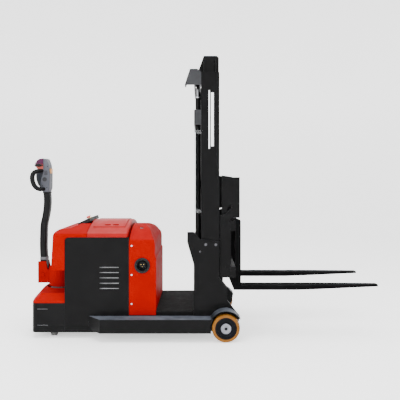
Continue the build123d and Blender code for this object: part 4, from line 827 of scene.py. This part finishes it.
# ---------------------------------------------------------------- mast detail
STRIPE_LOW, STRIPE_HIGH = 1.455, 1.905
for name, side in SIDES.items():
    stripes = bmesh.new()
    for x, wide, inset in ((0.066, 0.010, 0.0), (0.084, 0.022, 0.018)):
        face = sorted((side * 0.3109, side * 0.3114))
        merge(stripes, rounded(
            (x, face[0], STRIPE_LOW + inset), (x + wide, face[1], STRIPE_HIGH - inset), 0.0002, 2,
        ))
    piece(f"mast_stripe_{name}", stripes, EXTRA["stripe"], "chassis")

CHAIN_Y, PITCH = 0.120, 0.0159


def leaf_chain(x, low, high):
    """Both strands of a leaf chain: waisted plates in alternate rows, joined by pins."""
    shape = bmesh.new()
    count = round((high - low) / PITCH)
    pitch = (high - low) / count
    for side in SIDES.values():
        for i in range(count):
            middle = low + (i + 0.5) * pitch
            rows = (-0.0078, -0.0026, 0.0026, 0.0078) if i % 2 else (-0.0052, 0.0, 0.0052)
            for row in rows:
                y = side * CHAIN_Y + row
                merge(shape, rounded(
                    (x - 0.0050, y - 0.0011, middle - pitch * 0.5 - 0.0042),
                    (x + 0.0050, y + 0.0011, middle + pitch * 0.5 + 0.0042), 0.0009, 1,
                ))
            merge(shape, turned([
                (0.0, -0.0096), (0.0022, -0.0096), (0.0026, -0.0092), (0.0026, 0.0092), (0.0022, 0.0096),
                (0.0, 0.0096),
            ], 10), along_y(x, side * CHAIN_Y, low + i * pitch, 1.0))
    return shape


rear_low, rear_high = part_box("chains_rear")
front_low, front_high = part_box("chains_front")
for name, low, high, first, second in (
    ("chain_run_rear", rear_low, rear_high, "chassis", "mast_stage"),
    ("chain_run_front", front_low, front_high, "carriage", "mast_stage"),
):
    x = (low.x + high.x) / 2
    run = slotted(name, leaf_chain(x, low.z + 0.006, high.z - 0.006), "chain_steel", None)
    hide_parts(name.replace("chain_run", "chains"))
    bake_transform(run)

ANCHOR_DROP = 0.080
anchors = bmesh.new()
for side in SIDES.values():
    merge(anchors, turned([
        (0.0, 0.0), (0.0050, 0.0), (0.0060, 0.001), (0.0060, 0.046), (0.0, 0.046),
    ], 24), Matrix.Translation((0.0, side * CHAIN_Y, rear_low.z - ANCHOR_DROP)))
    for lift in (0.016, 0.026):
        merge(anchors, turned([
            (0.0, 0.0), (0.0098, 0.0), (0.0106, 0.0008), (0.0106, 0.0076), (0.0098, 0.0084), (0.0, 0.0084),
        ], 6), Matrix.Translation((0.0, side * CHAIN_Y, rear_low.z - ANCHOR_DROP + lift)))
slotted("chain_anchors", anchors, "chain_steel", "chassis")

glands = bmesh.new()
cylinder_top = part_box("lift_cylinders")[1].z
for side in SIDES.values():
    merge(glands, turned([
        (0.0164, 0.0), (0.0164, 0.009), (0.0176, 0.0106), (0.0212, 0.0106), (0.0222, 0.0096),
        (0.0222, 0.0004), (0.0216, 0.0), (0.0164, 0.0),
    ], 48), Matrix.Translation((-0.014, side * 0.205, cylinder_top)))
slotted("cylinder_glands", glands, "roller_steel", "chassis")

# ---------------------------------------------------------------- fork tops: locking knobs at the hooks
for name, side in SIDES.items():
    knob = turned([
        (0.0, 0.0), (0.0075, 0.0), (0.0075, 0.006), (0.0105, 0.008), (0.0115, 0.012), (0.0115, 0.018),
        (0.0100, 0.0210), (0.0060, 0.0222), (0.0, 0.0225),
    ], 40)
    knob.transform(Matrix.Translation((0.264, side * 0.25, 0.917)))
    slotted(f"fork_knob_{name}", knob, "zinc_steel", f"fork_slide_{name}", 45.0)

# ---------------------------------------------------------------- floor and light


def floor_material():
    """Pale matt floor that glows a little, so that it stays near white."""
    material = bpy.data.materials.new("pale_floor")
    material.use_nodes = True
    nodes, links = material.node_tree.nodes, material.node_tree.links
    shader = nodes["Principled BSDF"]
    place = nodes.new("ShaderNodeTexCoord").outputs["Object"]
    tone = remap(nodes, links, noise(nodes, links, place, 0.6, 3.0), 0.3, 0.7)
    pale = mix_colors(nodes, links, tone, (0.90, 0.90, 0.90), (0.93, 0.93, 0.93))
    links.new(pale, shader.inputs["Base Color"])
    gloss = remap(nodes, links, noise(nodes, links, place, 20.0, 3.0), 0.3, 0.7, 0.6, 0.75)
    links.new(gloss, shader.inputs["Roughness"])
    shader.inputs["Emission Color"].default_value = (1.0, 1.0, 1.0, 1.0)
    shader.inputs["Emission Strength"].default_value = 0.8
    return material


# A round floor that sweeps up into a low wall, so every view has the same plain background.
FLOOR_R, SWEEP, WALL_HIGH = 13.0, 4.0, 9.0
sweep_turns = [math.pi / 2 * i / 20 for i in range(1, 21)]
section = [(0.0, 0.0), (FLOOR_R - SWEEP, 0.0)]
section += [(FLOOR_R - SWEEP + SWEEP * math.sin(a), SWEEP - SWEEP * math.cos(a)) for a in sweep_turns]
section.append((FLOOR_R, WALL_HIGH))
backdrop = turned(section, 96)
mesh = bpy.data.meshes.new("floor")
backdrop.to_mesh(mesh)
backdrop.free()
mesh.polygons.foreach_set("use_smooth", [True] * len(mesh.polygons))
mesh.materials.append(floor_material())
floor = bpy.data.objects.new("floor", mesh)
bpy.context.collection.objects.link(floor)

world = bpy.data.worlds.new("studio")
bpy.context.scene.world = world
world.use_nodes = True
world.node_tree.nodes["Background"].inputs["Color"].default_value = (1.0, 1.0, 1.0, 1.0)
world.node_tree.nodes["Background"].inputs["Strength"].default_value = 1.15


def soft_light(name, where, target, size, power):
    """Rectangular area light that points at a target."""
    data = bpy.data.lights.new(name, "AREA")
    data.shape = "RECTANGLE"
    data.size, data.size_y = size
    data.energy = power
    lamp = bpy.data.objects.new(name, data)
    lamp.location = where
    lamp.rotation_euler = (Vector(target) - Vector(where)).to_track_quat("-Z", "Y").to_euler()
    bpy.context.collection.objects.link(lamp)


soft_light("overhead", (-0.5, -0.6, 5.0), (0.0, 0.0, 0.8), (5.0, 4.0), 380.0)
soft_light("key", (-4.2, -4.5, 3.2), (0.0, 0.0, 0.8), (3.0, 3.0), 230.0)
soft_light("fill", (4.5, -4.0, 2.4), (0.0, 0.0, 0.8), (3.0, 3.0), 110.0)
